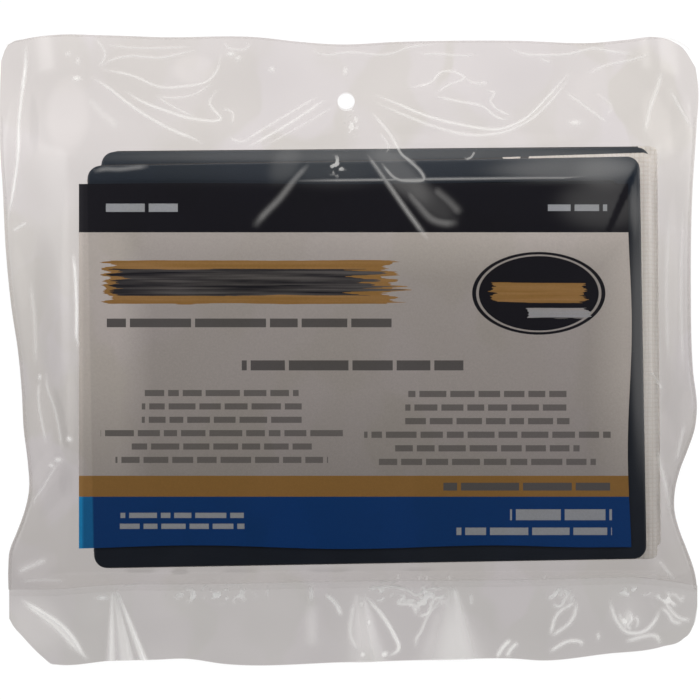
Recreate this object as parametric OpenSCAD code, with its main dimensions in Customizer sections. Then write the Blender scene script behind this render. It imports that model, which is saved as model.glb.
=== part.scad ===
// Two refill pads for a paint edger, packed with an insert card in a sealed clear bag.
// Millimetres. The pack lies on its back: +X to the right of the card, +Y towards the hang hole, +Z up.
// The origin is under the middle of the bag, on the surface that the bag lies on.

/* [Backing plates] */
// Length of a pad's backing plate
plate_w = 127; // [100:0.5:150]
// Width of a pad's backing plate
plate_h = 92.5; // [75:0.5:110]
// Corner radius of the plate
plate_corner = 3; // [2:0.25:6]
// Thickness of the plate at its rim
plate_t = 1.6; // [1.3:0.1:3]
// Rounding of the plate's upper edge
plate_roll = 0.5; // [0.2:0.1:1]
// Width of the rim around the well
rim_w = 5.4; // [4:0.1:9]
// Depth of the well that takes the tool's head
well_d = 0.7; // [0.4:0.1:0.9]
// Corner radius of the well
well_corner = 1.5; // [1:0.25:4]
// Length of a catch slot for the tool's squeeze tabs
slot_l = 20; // [10:0.5:40]
// Width of a catch slot
slot_w = 3; // [2:0.1:5]
// Distance from an end of the well to its catch slot
slot_in = 4; // [2:0.5:12]

/* [Foam and pile fabric] */
// Thickness of the foam under a plate
foam_t = 3; // [2:0.25:8]
// How far the foam stays inside the plate's edge
foam_inset = 0.5; // [0.2:0.1:1.5]
// Thickness of the pile fabric with its ground cloth
fabric_t = 1.8; // [1.4:0.1:4]
// How far the fabric stands out past the plate's right end
right_overhang = 2.1; // [1:0.1:5]
// How far the fabric stands out past the plate's left end
left_overhang = 0.4; // [0.2:0.1:5]
// How far the fabric stands out past the plate's lower edge
lower_overhang = 0.8; // [0.2:0.1:5]
// How far the fabric stands out past the upper edge, which runs along the trim
upper_overhang = 0.4; // [0.2:0.1:2]
// Corner radius of the fabric
fabric_corner = 4; // [2.5:0.25:8]
// Rounding of the pile's edge
pile_roll = 1; // [0.4:0.1:1.3]
// Thickness of the glue between two layers of a pad
glue_t = 0.02; // [0.01:0.01:0.1]

/* [Stack] */
// Turn of the front pad, in degrees
front_turn = 1; // [0:0.25:2]
// Turn of the rear pad, in degrees
rear_turn = 0.5; // [0:0.25:2]
// How far the rear pad lies to the right of the front one
rear_dx = 2.4; // [0:0.1:4]
// How far the rear pad lies above the front one
rear_dy = 3; // [0:0.1:4]
// Length of the insert card
card_w = 126.5; // [90:0.5:140]
// Width of the insert card
card_h = 83.5; // [50:0.5:95]
// Thickness of the insert card
card_t = 0.3; // [0.2:0.05:0.6]
// How far the card's middle lies to the right of the front plate's middle
card_dx = -2.9; // [-5:0.1:5]
// How far the card's middle lies above the front plate's middle
card_dy = -0.7; // [-5:0.1:5]
// Free height between two layers of the stack
layer_gap = 0.25; // [0.2:0.05:0.6]
// Free space beside the stack at the ends of its travel
side_gap = 0.4; // [0.3:0.05:1]
// How far the pads can slide to the left in the bag
pad_play = 5; // [1:0.5:6]
// How far the card can slide up in the bag
card_play_up = 5; // [1:0.5:6]
// How far the card can slide down in the bag
card_play_down = 4; // [1:0.5:6]

/* [Bag] */
// Thickness of one wall of the film
film = 0.1; // [0.06:0.01:0.2]
// Height of the seams over the surface below
seam_z = 4.5; // [2:0.25:6]
// How strongly the film rounds over the edge of the stack
film_bulge = 1.5; // [1.3:0.1:2.5]
// From the fabric to the bag's right edge
right_room = 8.5; // [7:0.1:20]
// From the fabric, slid to the left, to the bag's left edge
left_room = 15.4; // [12:0.1:25]
// From the fabric's top to the header's fold line
head_room = 6.7; // [5:0.1:15]
// From the fabric's lower edge to the heat seal
seal_room = 4.6; // [3:0.1:10]
// How far the left side is drawn in at its waist
left_waist = 6.5; // [0:0.25:7]
// How far the right side is drawn in at its waist
right_waist = 4.5; // [0:0.25:5]
// Height of the waist over the heat seal
waist_up = 22; // [15:0.5:35]
// Height over which the left side draws in, above its waist
left_waist_reach = 72; // [30:1:80]
// Height over which the right side draws in, above its waist
right_waist_reach = 24; // [15:1:60]
// Height over which both sides draw in, below the waist
waist_drop = 18; // [10:1:20]
// Width of the side welds
weld_w = 1.2; // [0.8:0.1:1.5]
// Width of the heat seal
seal_w = 1.6; // [1:0.1:5]
// Thickness of the film fused in the heat seal
seal_t = 0.4; // [0.2:0.05:0.6]

/* [Header and skirt] */
// Height of the header above its fold line
header_h = 19; // [15:0.5:40]
// Corner radius of the header
header_corner = 5; // [2:0.5:8]
// Height of the doubled edge at the top of the header
top_fold_h = 2.5; // [1.5:0.1:4]
// How far the header's top edge dips over the hang hole
top_dip = 1.5; // [0:0.1:2.5]
// Half the width of that dip
top_dip_reach = 28; // [15:1:40]
// Diameter of the hang hole
hole_d = 4; // [3:0.1:6.5]
// Height of the hang hole's middle over the fold line
hole_up = 3.5; // [3.2:0.1:9]
// How far the hang hole lies to the right of the bag's middle
hole_dx = -0.7; // [-5:0.1:5]
// Height of the loose skirt below the heat seal
skirt_h = 15.7; // [13:0.1:30]
// Cut across the skirt's left corner
skirt_cut = 11; // [4:0.5:12]
// Radius of the skirt's right corner
skirt_round = 12; // [4:0.5:12.5]
// Free gap where the film bends at a fold line
fold_gap = 0.6; // [0.5:0.05:1]

/* [Hidden] */
$fn = 48;
// Steps along each side of the pouch, and rings from its edge to its flat middle
side_steps = 22;
ring_steps = 7;
// Corner radius of the flat middle of a film wall
flat_corner = 4;
// Steps along the header's top edge, and along a round corner of the film
top_steps = 40;
corner_steps = 10;
// Extra depth of a cut past the face that it opens
past = 1;

fabric_w = plate_w + right_overhang + left_overhang;
fabric_h = plate_h + upper_overhang + lower_overhang;
fabric_right = plate_w / 2 + right_overhang;
fabric_left = plate_w / 2 + left_overhang;
fabric_up = plate_h / 2 + upper_overhang;
fabric_down = plate_h / 2 + lower_overhang;
foam_z = fabric_t + glue_t;
plate_z = foam_z + foam_t + glue_t;
pad_t = plate_z + plate_t;

// Heights of the layers, from the back film up
rear_z = film + layer_gap;
front_z = rear_z + pad_t + layer_gap;
card_z = front_z + pad_t + layer_gap;
cover_z = card_z + card_t + layer_gap;

// Places of the pads, seen from the front plate's middle: right, up and turn
front_from = [0, 0, front_turn];
rear_from = [rear_dx, rear_dy, rear_turn];

// How far a turned rectangle reaches from a place, given what lies up, down and to a side of it
function right_of(from, half_w, down) = from[0] + half_w * cos(from[2]) + down * sin(from[2]);
function left_of(from, half_w, up) = from[0] - half_w * cos(from[2]) - up * sin(from[2]);
function top_of(from, half_w, up) = from[1] + up * cos(from[2]) + half_w * sin(from[2]);
function low_of(from, half_w, down) = from[1] - down * cos(from[2]) - half_w * sin(from[2]);

// The bag's edges, seen from the front plate's middle
edge_right = max([for (from = [front_from, rear_from]) right_of(from, fabric_right, fabric_down)])
  + right_room;
edge_left = min([for (from = [front_from, rear_from]) left_of(from, fabric_left, fabric_up)])
  - pad_play - left_room;
edge_fold = max([for (from = [front_from, rear_from]) top_of(from, fabric_right, fabric_up)]) + head_room;
edge_seal = min([for (from = [front_from, rear_from]) low_of(from, fabric_left, fabric_down)]) - seal_room;
edge_top = edge_fold + header_h;
edge_bottom = edge_seal - seal_w - skirt_h;

// The front plate's middle, seen from the middle of the bag
stack_x = -(edge_left + edge_right) / 2;
stack_y = -(edge_top + edge_bottom) / 2;
front_place = [stack_x, stack_y, front_turn];
rear_place = [stack_x + rear_dx, stack_y + rear_dy, rear_turn];
card_x = stack_x + card_dx;
card_y = stack_y + card_dy;

x_left = edge_left + stack_x;
x_right = edge_right + stack_x;
y_top = edge_top + stack_y;
y_fold = edge_fold + stack_y;
y_seal = edge_seal + stack_y;
y_skirt = y_seal - seal_w - fold_gap;
y_bottom = edge_bottom + stack_y;
y_waist = y_seal + waist_up;
y_pouch_top = y_fold - fold_gap / 2;
hole_place = [hole_dx, y_fold + hole_up];

// Flat middle of the front film, over the front plate and the card in all their travel
front_flat = [
  min(left_of(front_place, plate_w / 2, plate_h / 2) - pad_play, card_x - card_w / 2) - side_gap,
  min(low_of(front_place, plate_w / 2, plate_h / 2), card_y - card_h / 2 - card_play_down) - side_gap,
  max(right_of(front_place, plate_w / 2, plate_h / 2), card_x + card_w / 2) + side_gap,
  max(top_of(front_place, plate_w / 2, plate_h / 2), card_y + card_h / 2 + card_play_up) + side_gap,
];
// Flat middle of the back film, under the rear fabric in all its travel
back_flat = [
  left_of(rear_place, fabric_left, fabric_up) - pad_play - side_gap,
  low_of(rear_place, fabric_left, fabric_down) - side_gap,
  right_of(rear_place, fabric_right, fabric_down) + side_gap,
  top_of(rear_place, fabric_right, fabric_up) + side_gap,
];

plate_colour = "#24272c";
foam_colour = "#d9d5ca";
fabric_colour = "#f1ede2";
card_colour = "#cfccc2";
film_colour = "#dcd9d6";
film_alpha = 0.35;

function mix(a, b, t) = a + (b - a) * t;
function clamp(a, low, high) = min(max(a, low), high);
// A smooth swell: 1 at the middle, 0 from one reach away
function swell(t) = abs(t) < 1 ? (1 + cos(180 * t)) / 2 : 0;
function waist_share(y, reach_up) =
  let (rise = y - y_waist)
  swell(rise / (rise > 0 ? reach_up : waist_drop));

// Outer edges of the bag at height y, drawn in at the waist
function left_edge(y) = x_left + left_waist * waist_share(y, left_waist_reach);
function right_edge(y) = x_right - right_waist * waist_share(y, right_waist_reach);
function top_edge(x) = y_top - top_dip * swell((x - hole_place[0]) / top_dip_reach);

// Point i on the pouch's edge, inside the welds, counterclockwise from the lower left corner
function pouch_point(i) =
  let (
    side = floor(i / side_steps),
    t = (i % side_steps) / side_steps,
    y = side == 0 ? y_seal
      : side == 1 ? mix(y_seal, y_pouch_top, t)
      : side == 2 ? y_pouch_top
      : mix(y_pouch_top, y_seal, t),
    left = left_edge(y) + weld_w,
    right = right_edge(y) - weld_w
  )
  [side == 0 ? mix(left, right, t) : side == 1 ? right : side == 2 ? mix(right, left, t) : left, y];

// The same point on the edge of a film wall's flat middle, grown by a film's thickness or not
function flat_point(flat, grow, i) =
  let (
    side = floor(i / side_steps),
    t = (i % side_steps) / side_steps,
    low = [flat[0] - grow, flat[1] - grow],
    high = [flat[2] + grow, flat[3] + grow],
    p = side == 0 ? [mix(low[0], high[0], t), low[1]]
      : side == 1 ? [high[0], mix(low[1], high[1], t)]
      : side == 2 ? [mix(high[0], low[0], t), high[1]]
      : [low[0], mix(high[1], low[1], t)],
    core = [for (axis = [0, 1]) clamp(p[axis], low[axis] + flat_corner, high[axis] - flat_corner)],
    away = p - core
  )
  away[0] * away[1] == 0 ? p : core + flat_corner * away / norm(away);

function reversed(list) = [for (i = [len(list) - 1 : -1 : 0]) list[i]];
function arc(middle, r, from, to) =
  [for (i = [0 : corner_steps]) let (a = mix(from, to, i / corner_steps)) middle + r * [cos(a), sin(a)]];

// One wall of the pouch: flat over the stack, and rounded down or up to the seams around it
module film_wall(flat, z_flat, up) {
  count = 4 * side_steps;
  skin = (ring_steps + 1) * count;
  rings = [
    for (outer = [0, 1], ring = [0 : ring_steps])
      let (
        s = 1 - ring / ring_steps,
        z = seam_z + (z_flat - seam_z) * (1 - pow(s, film_bulge)) + up * outer * film
      )
      for (i = [0 : count - 1])
        let (p = mix(flat_point(flat, outer * film, i), pouch_point(i), s))
        [p[0], p[1], z]
  ];
  centres = [
    for (outer = [0, 1])
      [(flat[0] + flat[2]) / 2, (flat[1] + flat[3]) / 2, z_flat + up * outer * film]
  ];
  surfaces = [
    for (outer = [0, 1], ring = [0 : ring_steps - 1], i = [0 : count - 1], half = [0, 1])
      let (
        a = outer * skin + ring * count + i,
        b = outer * skin + ring * count + (i + 1) % count,
        triangle = half == 0 ? [a, b, b + count] : [a, b + count, a + count]
      )
      (outer == 1) == (up > 0) ? reversed(triangle) : triangle
  ];
  middles = [
    for (outer = [0, 1], i = [0 : count - 1])
      let (
        edge = outer * skin + ring_steps * count,
        triangle = [edge + i, edge + (i + 1) % count, 2 * skin + outer]
      )
      (outer == 1) == (up > 0) ? reversed(triangle) : triangle
  ];
  rims = [
    for (i = [0 : count - 1], half = [0, 1])
      let (
        a = i,
        b = (i + 1) % count,
        triangle = half == 0 ? [a, b, skin + b] : [a, skin + b, skin + a]
      )
      up > 0 ? reversed(triangle) : triangle
  ];
  polyhedron(points = concat(rings, centres), faces = concat(surfaces, middles, rims));
}

// A strip of both films, fused along one side of the pouch
module side_weld(side) {
  count = 4 * side_steps;
  edge = [for (i = [0 : side_steps]) pouch_point((side * side_steps + i) % count)];
  step = side == 1 ? weld_w : -weld_w;
  outer = [for (p = edge) p + [step, 0]];
  translate([0, 0, seam_z - film])
    linear_extrude(2 * film)
      polygon(concat(edge, reversed(outer)));
}

module header_outline() {
  base = y_fold + fold_gap / 2;
  middle_y = y_top - header_corner;
  top_left = x_left + header_corner;
  top_right = x_right - header_corner;
  polygon(concat(
    [[x_left, base], [x_right, base]],
    arc([top_right, middle_y], header_corner, 0, 90),
    [for (i = [1 : top_steps - 1]) let (x = mix(top_right, top_left, i / top_steps)) [x, top_edge(x)]],
    arc([top_left, middle_y], header_corner, 90, 180)
  ));
}

// The band along the header's top edge where the film is doubled over
module top_band() {
  lower = [for (i = [0 : top_steps]) let (x = mix(x_left - past, x_right + past, i / top_steps))
    [x, top_edge(x) - top_fold_h]];
  polygon(concat(lower, [[x_right + past, y_top + past], [x_left - past, y_top + past]]));
}

module header_film(z) {
  translate([0, 0, z])
    difference() {
      linear_extrude(film)
        difference() {
          header_outline();
          top_band();
        }
      translate([hole_place[0], hole_place[1], -past])
        cylinder(d = hole_d, h = film + 2 * past);
    }
}

module skirt_film(z) {
  translate([0, 0, z])
    linear_extrude(film)
      polygon(concat(
        [[x_right, y_skirt], [x_left, y_skirt]],
        [[x_left, y_bottom + skirt_cut], [x_left + skirt_cut, y_bottom]],
        arc([x_right - skirt_round, y_bottom + skirt_round], skirt_round, -90, 0)
      ));
}

module rounded_rectangle(w, h, r) {
  square([w - 2 * r, h], center = true);
  square([w, h - 2 * r], center = true);
  for (x = [-1, 1], y = [-1, 1])
    translate([x * (w / 2 - r), y * (h / 2 - r)])
      circle(r);
}

// Section of a slab's edge: square below, and rolled over above
module rolled_edge(r, t, roll) {
  square([r, t - roll]);
  square([r - roll, t]);
  intersection() {
    translate([r - roll, t - roll])
      circle(roll);
    square([r, t]);
  }
}

// A slab with round corners, whose upper edge is rolled over all the way round
module rolled_slab(w, h, r, t, roll) {
  straight_w = w - 2 * r;
  straight_h = h - 2 * r;
  translate([-straight_w / 2, -straight_h / 2, 0])
    cube([straight_w, straight_h, t]);
  for (end = [0, 1])
    rotate([0, 0, 180 * end]) {
      translate([straight_w / 2, straight_h / 2, 0])
        rotate([90, 0, 0])
          linear_extrude(straight_h)
            rolled_edge(r, t, roll);
      rotate([0, 0, 90])
        translate([straight_h / 2, straight_w / 2, 0])
          rotate([90, 0, 0])
            linear_extrude(straight_w)
              rolled_edge(r, t, roll);
      translate([straight_w / 2, straight_h / 2, 0])
        rotate_extrude(angle = 90)
          rolled_edge(r, t, roll);
      translate([-straight_w / 2, straight_h / 2, 0])
        rotate([0, 0, 90])
          rotate_extrude(angle = 90)
            rolled_edge(r, t, roll);
    }
}

module at_pad(place, z) {
  translate([place[0], place[1], z])
    rotate([0, 0, place[2]])
      children();
}

// Moulded backing plate: a rim round a shallow well, with a catch slot near each end
module pad_plate(place, z) {
  well_w = plate_w - 2 * rim_w;
  well_h = plate_h - 2 * rim_w;
  color(plate_colour)
    at_pad(place, z + plate_z)
      difference() {
        rolled_slab(plate_w, plate_h, plate_corner, plate_t, plate_roll);
        translate([0, 0, plate_t - well_d])
          linear_extrude(well_d + past)
            rounded_rectangle(well_w, well_h, well_corner);
        for (end = [-1, 1])
          translate([end * (well_w / 2 - slot_in - slot_w / 2), 0, -past])
            linear_extrude(plate_t + 2 * past)
              square([slot_w, slot_l], center = true);
      }
}

module pad_foam(place, z) {
  color(foam_colour)
    at_pad(place, z + foam_z)
      linear_extrude(foam_t)
        rounded_rectangle(plate_w - 2 * foam_inset, plate_h - 2 * foam_inset, plate_corner);
}

// Pile fabric, cloth side up, with the pile's edge rolled in below
module pad_fabric(place, z) {
  color(fabric_colour)
    at_pad(place, z + fabric_t)
      translate([(right_overhang - left_overhang) / 2, (upper_overhang - lower_overhang) / 2, 0])
        rotate([180, 0, 0])
          rolled_slab(fabric_w, fabric_h, fabric_corner, fabric_t, pile_roll);
}

module bag_front_film() {
  color(film_colour, film_alpha)
    film_wall(front_flat, cover_z, 1);
}

module bag_back_film() {
  color(film_colour, film_alpha)
    film_wall(back_flat, film, -1);
}

module left_side_weld() {
  color(film_colour, film_alpha)
    side_weld(3);
}

module right_side_weld() {
  color(film_colour, film_alpha)
    side_weld(1);
}

module bottom_heat_seal() {
  color(film_colour, film_alpha)
    translate([left_edge(y_seal), y_seal - seal_w, seam_z - seal_t / 2])
      cube([right_edge(y_seal) - left_edge(y_seal), seal_w, seal_t]);
}

module header_front_film() {
  color(film_colour, film_alpha)
    header_film(seam_z);
}

module header_back_film() {
  color(film_colour, film_alpha)
    header_film(seam_z - film);
}

module header_top_fold() {
  color(film_colour, film_alpha)
    translate([0, 0, seam_z - film])
      linear_extrude(2 * film)
        intersection() {
          header_outline();
          top_band();
        }
}

module skirt_front_lip() {
  color(film_colour, film_alpha)
    skirt_film(seam_z);
}

module skirt_back_lip() {
  color(film_colour, film_alpha)
    skirt_film(seam_z - film);
}

module insert_card() {
  color(card_colour)
    translate([card_x - card_w / 2, card_y - card_h / 2, card_z])
      cube([card_w, card_h, card_t]);
}

module front_pad_plate() { pad_plate(front_place, front_z); }
module front_pad_foam() { pad_foam(front_place, front_z); }
module front_pad_fabric() { pad_fabric(front_place, front_z); }
module rear_pad_plate() { pad_plate(rear_place, rear_z); }
module rear_pad_foam() { pad_foam(rear_place, rear_z); }
module rear_pad_fabric() { pad_fabric(rear_place, rear_z); }

bag_front_film();
bag_back_film();
left_side_weld();
right_side_weld();
bottom_heat_seal();
header_front_film();
header_back_film();
header_top_fold();
skirt_front_lip();
skirt_back_lip();
insert_card();
front_pad_plate();
front_pad_foam();
front_pad_fabric();
rear_pad_plate();
rear_pad_foam();
rear_pad_fabric();
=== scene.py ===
"""Dresses the refill pack: two paint pads and a card in a clear film bag with a hanging header."""

import math

import bpy
import numpy as np
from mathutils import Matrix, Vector
from mathutils import noise


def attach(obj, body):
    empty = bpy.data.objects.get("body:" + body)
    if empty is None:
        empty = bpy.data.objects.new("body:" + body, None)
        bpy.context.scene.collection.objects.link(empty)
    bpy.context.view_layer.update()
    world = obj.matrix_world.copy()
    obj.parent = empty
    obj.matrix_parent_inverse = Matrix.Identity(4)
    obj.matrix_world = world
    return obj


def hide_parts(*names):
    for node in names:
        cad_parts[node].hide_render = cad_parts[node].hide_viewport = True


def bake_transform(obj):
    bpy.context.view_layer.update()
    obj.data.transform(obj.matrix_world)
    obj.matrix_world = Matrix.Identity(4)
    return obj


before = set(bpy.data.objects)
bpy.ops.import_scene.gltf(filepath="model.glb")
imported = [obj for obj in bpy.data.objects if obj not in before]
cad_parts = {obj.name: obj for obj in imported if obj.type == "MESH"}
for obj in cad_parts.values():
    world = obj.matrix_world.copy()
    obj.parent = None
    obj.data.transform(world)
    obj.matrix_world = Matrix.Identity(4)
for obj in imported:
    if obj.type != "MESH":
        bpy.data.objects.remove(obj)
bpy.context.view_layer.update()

# Lengths below are millimetres, but for the camera, the lamps and what materials read, in metres.
MM = 0.001

# Photograph's view, straight down on the pack.
CAMERA_PLACE = (0.0002, -0.0001, 0.907)
CAMERA_LENS = 200.0
CAMERA_SENSOR = 36.0

# Bag outline: places along an edge, each with the edge's distance from the middle.
LEFT_EDGE = (
    (-57.5, -79.0), (-50.5, -79.1), (-46.7, -78.8), (-42.1, -77.0), (-37.4, -75.3), (-32.7, -74.3),
    (-26.0, -74.6), (-18.8, -75.5), (-9.4, -76.0), (0.0, -76.9), (9.2, -78.3), (23.2, -79.7),
    (37.2, -80.4), (46.5, -81.0), (60.5, -81.0), (69.8, -80.6), (73.5, -80.4),
)
RIGHT_EDGE = (
    (-57.5, 81.0), (-51.4, 80.1), (-46.7, 78.5), (-42.1, 76.7), (-37.4, 75.5), (-32.7, 75.6),
    (-28.1, 76.7), (-23.4, 78.5), (-18.8, 80.1), (-14.1, 80.7), (-4.8, 79.8), (16.2, 79.3),
    (37.2, 79.7), (51.1, 80.6), (60.5, 81.0), (69.8, 79.6), (73.5, 79.0),
)
TOP_EDGE = (
    (-81.0, 67.0), (-80.2, 69.8), (-78.8, 71.2), (-76.0, 72.0), (-67.3, 73.0), (-56.0, 72.9),
    (-44.0, 72.5), (-20.7, 72.4), (-11.4, 71.4), (-2.1, 70.8), (11.9, 71.4), (39.8, 71.6),
    (58.5, 71.2), (66.0, 71.9), (72.5, 72.4), (76.8, 71.4), (79.4, 69.2), (81.0, 65.5),
)
SEAL_LINE = (
    (-81.0, -55.7), (-66.0, -55.5), (-60.0, -55.0), (-54.0, -54.6), (-38.0, -54.5), (-20.0, -54.2),
    (4.0, -53.8), (28.0, -53.6), (50.0, -53.3), (60.0, -53.0), (67.0, -52.9), (73.0, -53.5),
    (81.0, -54.8),
)
SKIRT_EDGE = (
    (-78.9, -62.4), (-78.4, -63.4), (-75.8, -66.6), (-70.6, -71.8), (-69.2, -72.9), (-67.8, -73.1),
    (-55.1, -72.2), (-44.8, -72.0), (-38.0, -71.8), (-29.2, -73.0), (0.2, -72.5), (23.4, -71.9),
    (38.5, -71.8), (44.3, -72.2), (59.8, -70.6), (72.7, -68.9), (77.4, -67.2), (79.6, -64.6),
    (80.6, -61.3), (80.8, -59.6),
)
SKIRT_LEFT = -78.9
SKIRT_RIGHT = 80.8

# Pouch heights and the parts of each wall that lie flat over the contents.
SEAM_Z = 4.5
FRONT_Z = 14.38
BACK_Z = 0.1
FOLD_Y = 54.0
TOP_REST_Y = 66.0
WELD = 1.2
FRONT_FLAT = (-64.0, -50.7, 68.6, 44.8)
BACK_FLAT = (-63.2, -47.9, 72.9, 47.7)
CORNER_POWER = 2.5
SIDE_BULGE = 1.5
RAMP_SOFT = 0.2
DOME_RISE = 0.9
DOME_REACH = 1.04
DOME_POWER = 4
TINY = 1e-9
WALL_GAP = 0.12
HOLE_CENTRE = (-0.7, 57.5)
HOLE_RADIUS = 2.0
SKIRT_DEPTH = 18.5

# Rows of each wall's grid: the share of the grid up to a row, and that row's height up the bag.
LOW_Y = -55.7
HIGH_Y = 73.0
HEADER_Y = 60.0
FRONT_ROWS = ((0.0, LOW_Y), (0.07, -50.7), (0.46, 22.0), (0.75, FOLD_Y), (1.0, HIGH_Y))
BACK_ROWS = ((0.0, LOW_Y), (0.08, -49.5), (0.56, 47.7), (0.62, FOLD_Y), (1.0, HIGH_Y))

# Columns and rows of each sheet's grid.
GRIDS = {
    "front_film": (230, 160), "back_film": (240, 100), "front_lip": (620, 60), "back_lip": (200, 20),
    "heat_seal": (480, 8), "left_side_bead": (6, 220), "right_side_bead": (6, 220), "top_fold": (320, 8),
    "printed_card": (110, 72), "front_cloth": (60, 380), "rear_cloth": (60, 380),
}

# Soft noise: its scale and its seed for each use.
NOISE = {
    "wall_flecks": (1.1, 3.0), "lip_flecks": (1.7, 3.0), "slack": (11.0, 4.0), "back_wall": (14.0, 9.0),
    "back_lip": (12.0, 6.0), "pale_line_breaks": (6.0, 21.0), "matting": (1.3, 11.0), "clumps": (5.0, 12.0),
    "pile_ends": (1.2, 13.0), "pile_sides": (1.2, 14.0), "fray": (0.9, 15.0), "pores": (1.5, 16.0),
}

# Angles in degrees past which an edge is shaded sharp.
SOFT_ANGLE = 180
FIBRE_ANGLE = 60
BEAD_ANGLE = 50
CARD_ANGLE = 30

# Waves of the header: height, middle, lean and reach of each soft fold, and where they begin.
HEADER_FOLDS = (
    (1.6, 71.5, -0.12, 3.4),
    (1.2, -67.0, -0.10, 4.2),
    (0.7, -20.0, 0.20, 12.0),
    (0.7, 34.0, -0.15, 14.0),
)
WAVE_LEAD = 3.0
WAVE_SPAN = 12.0
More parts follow.
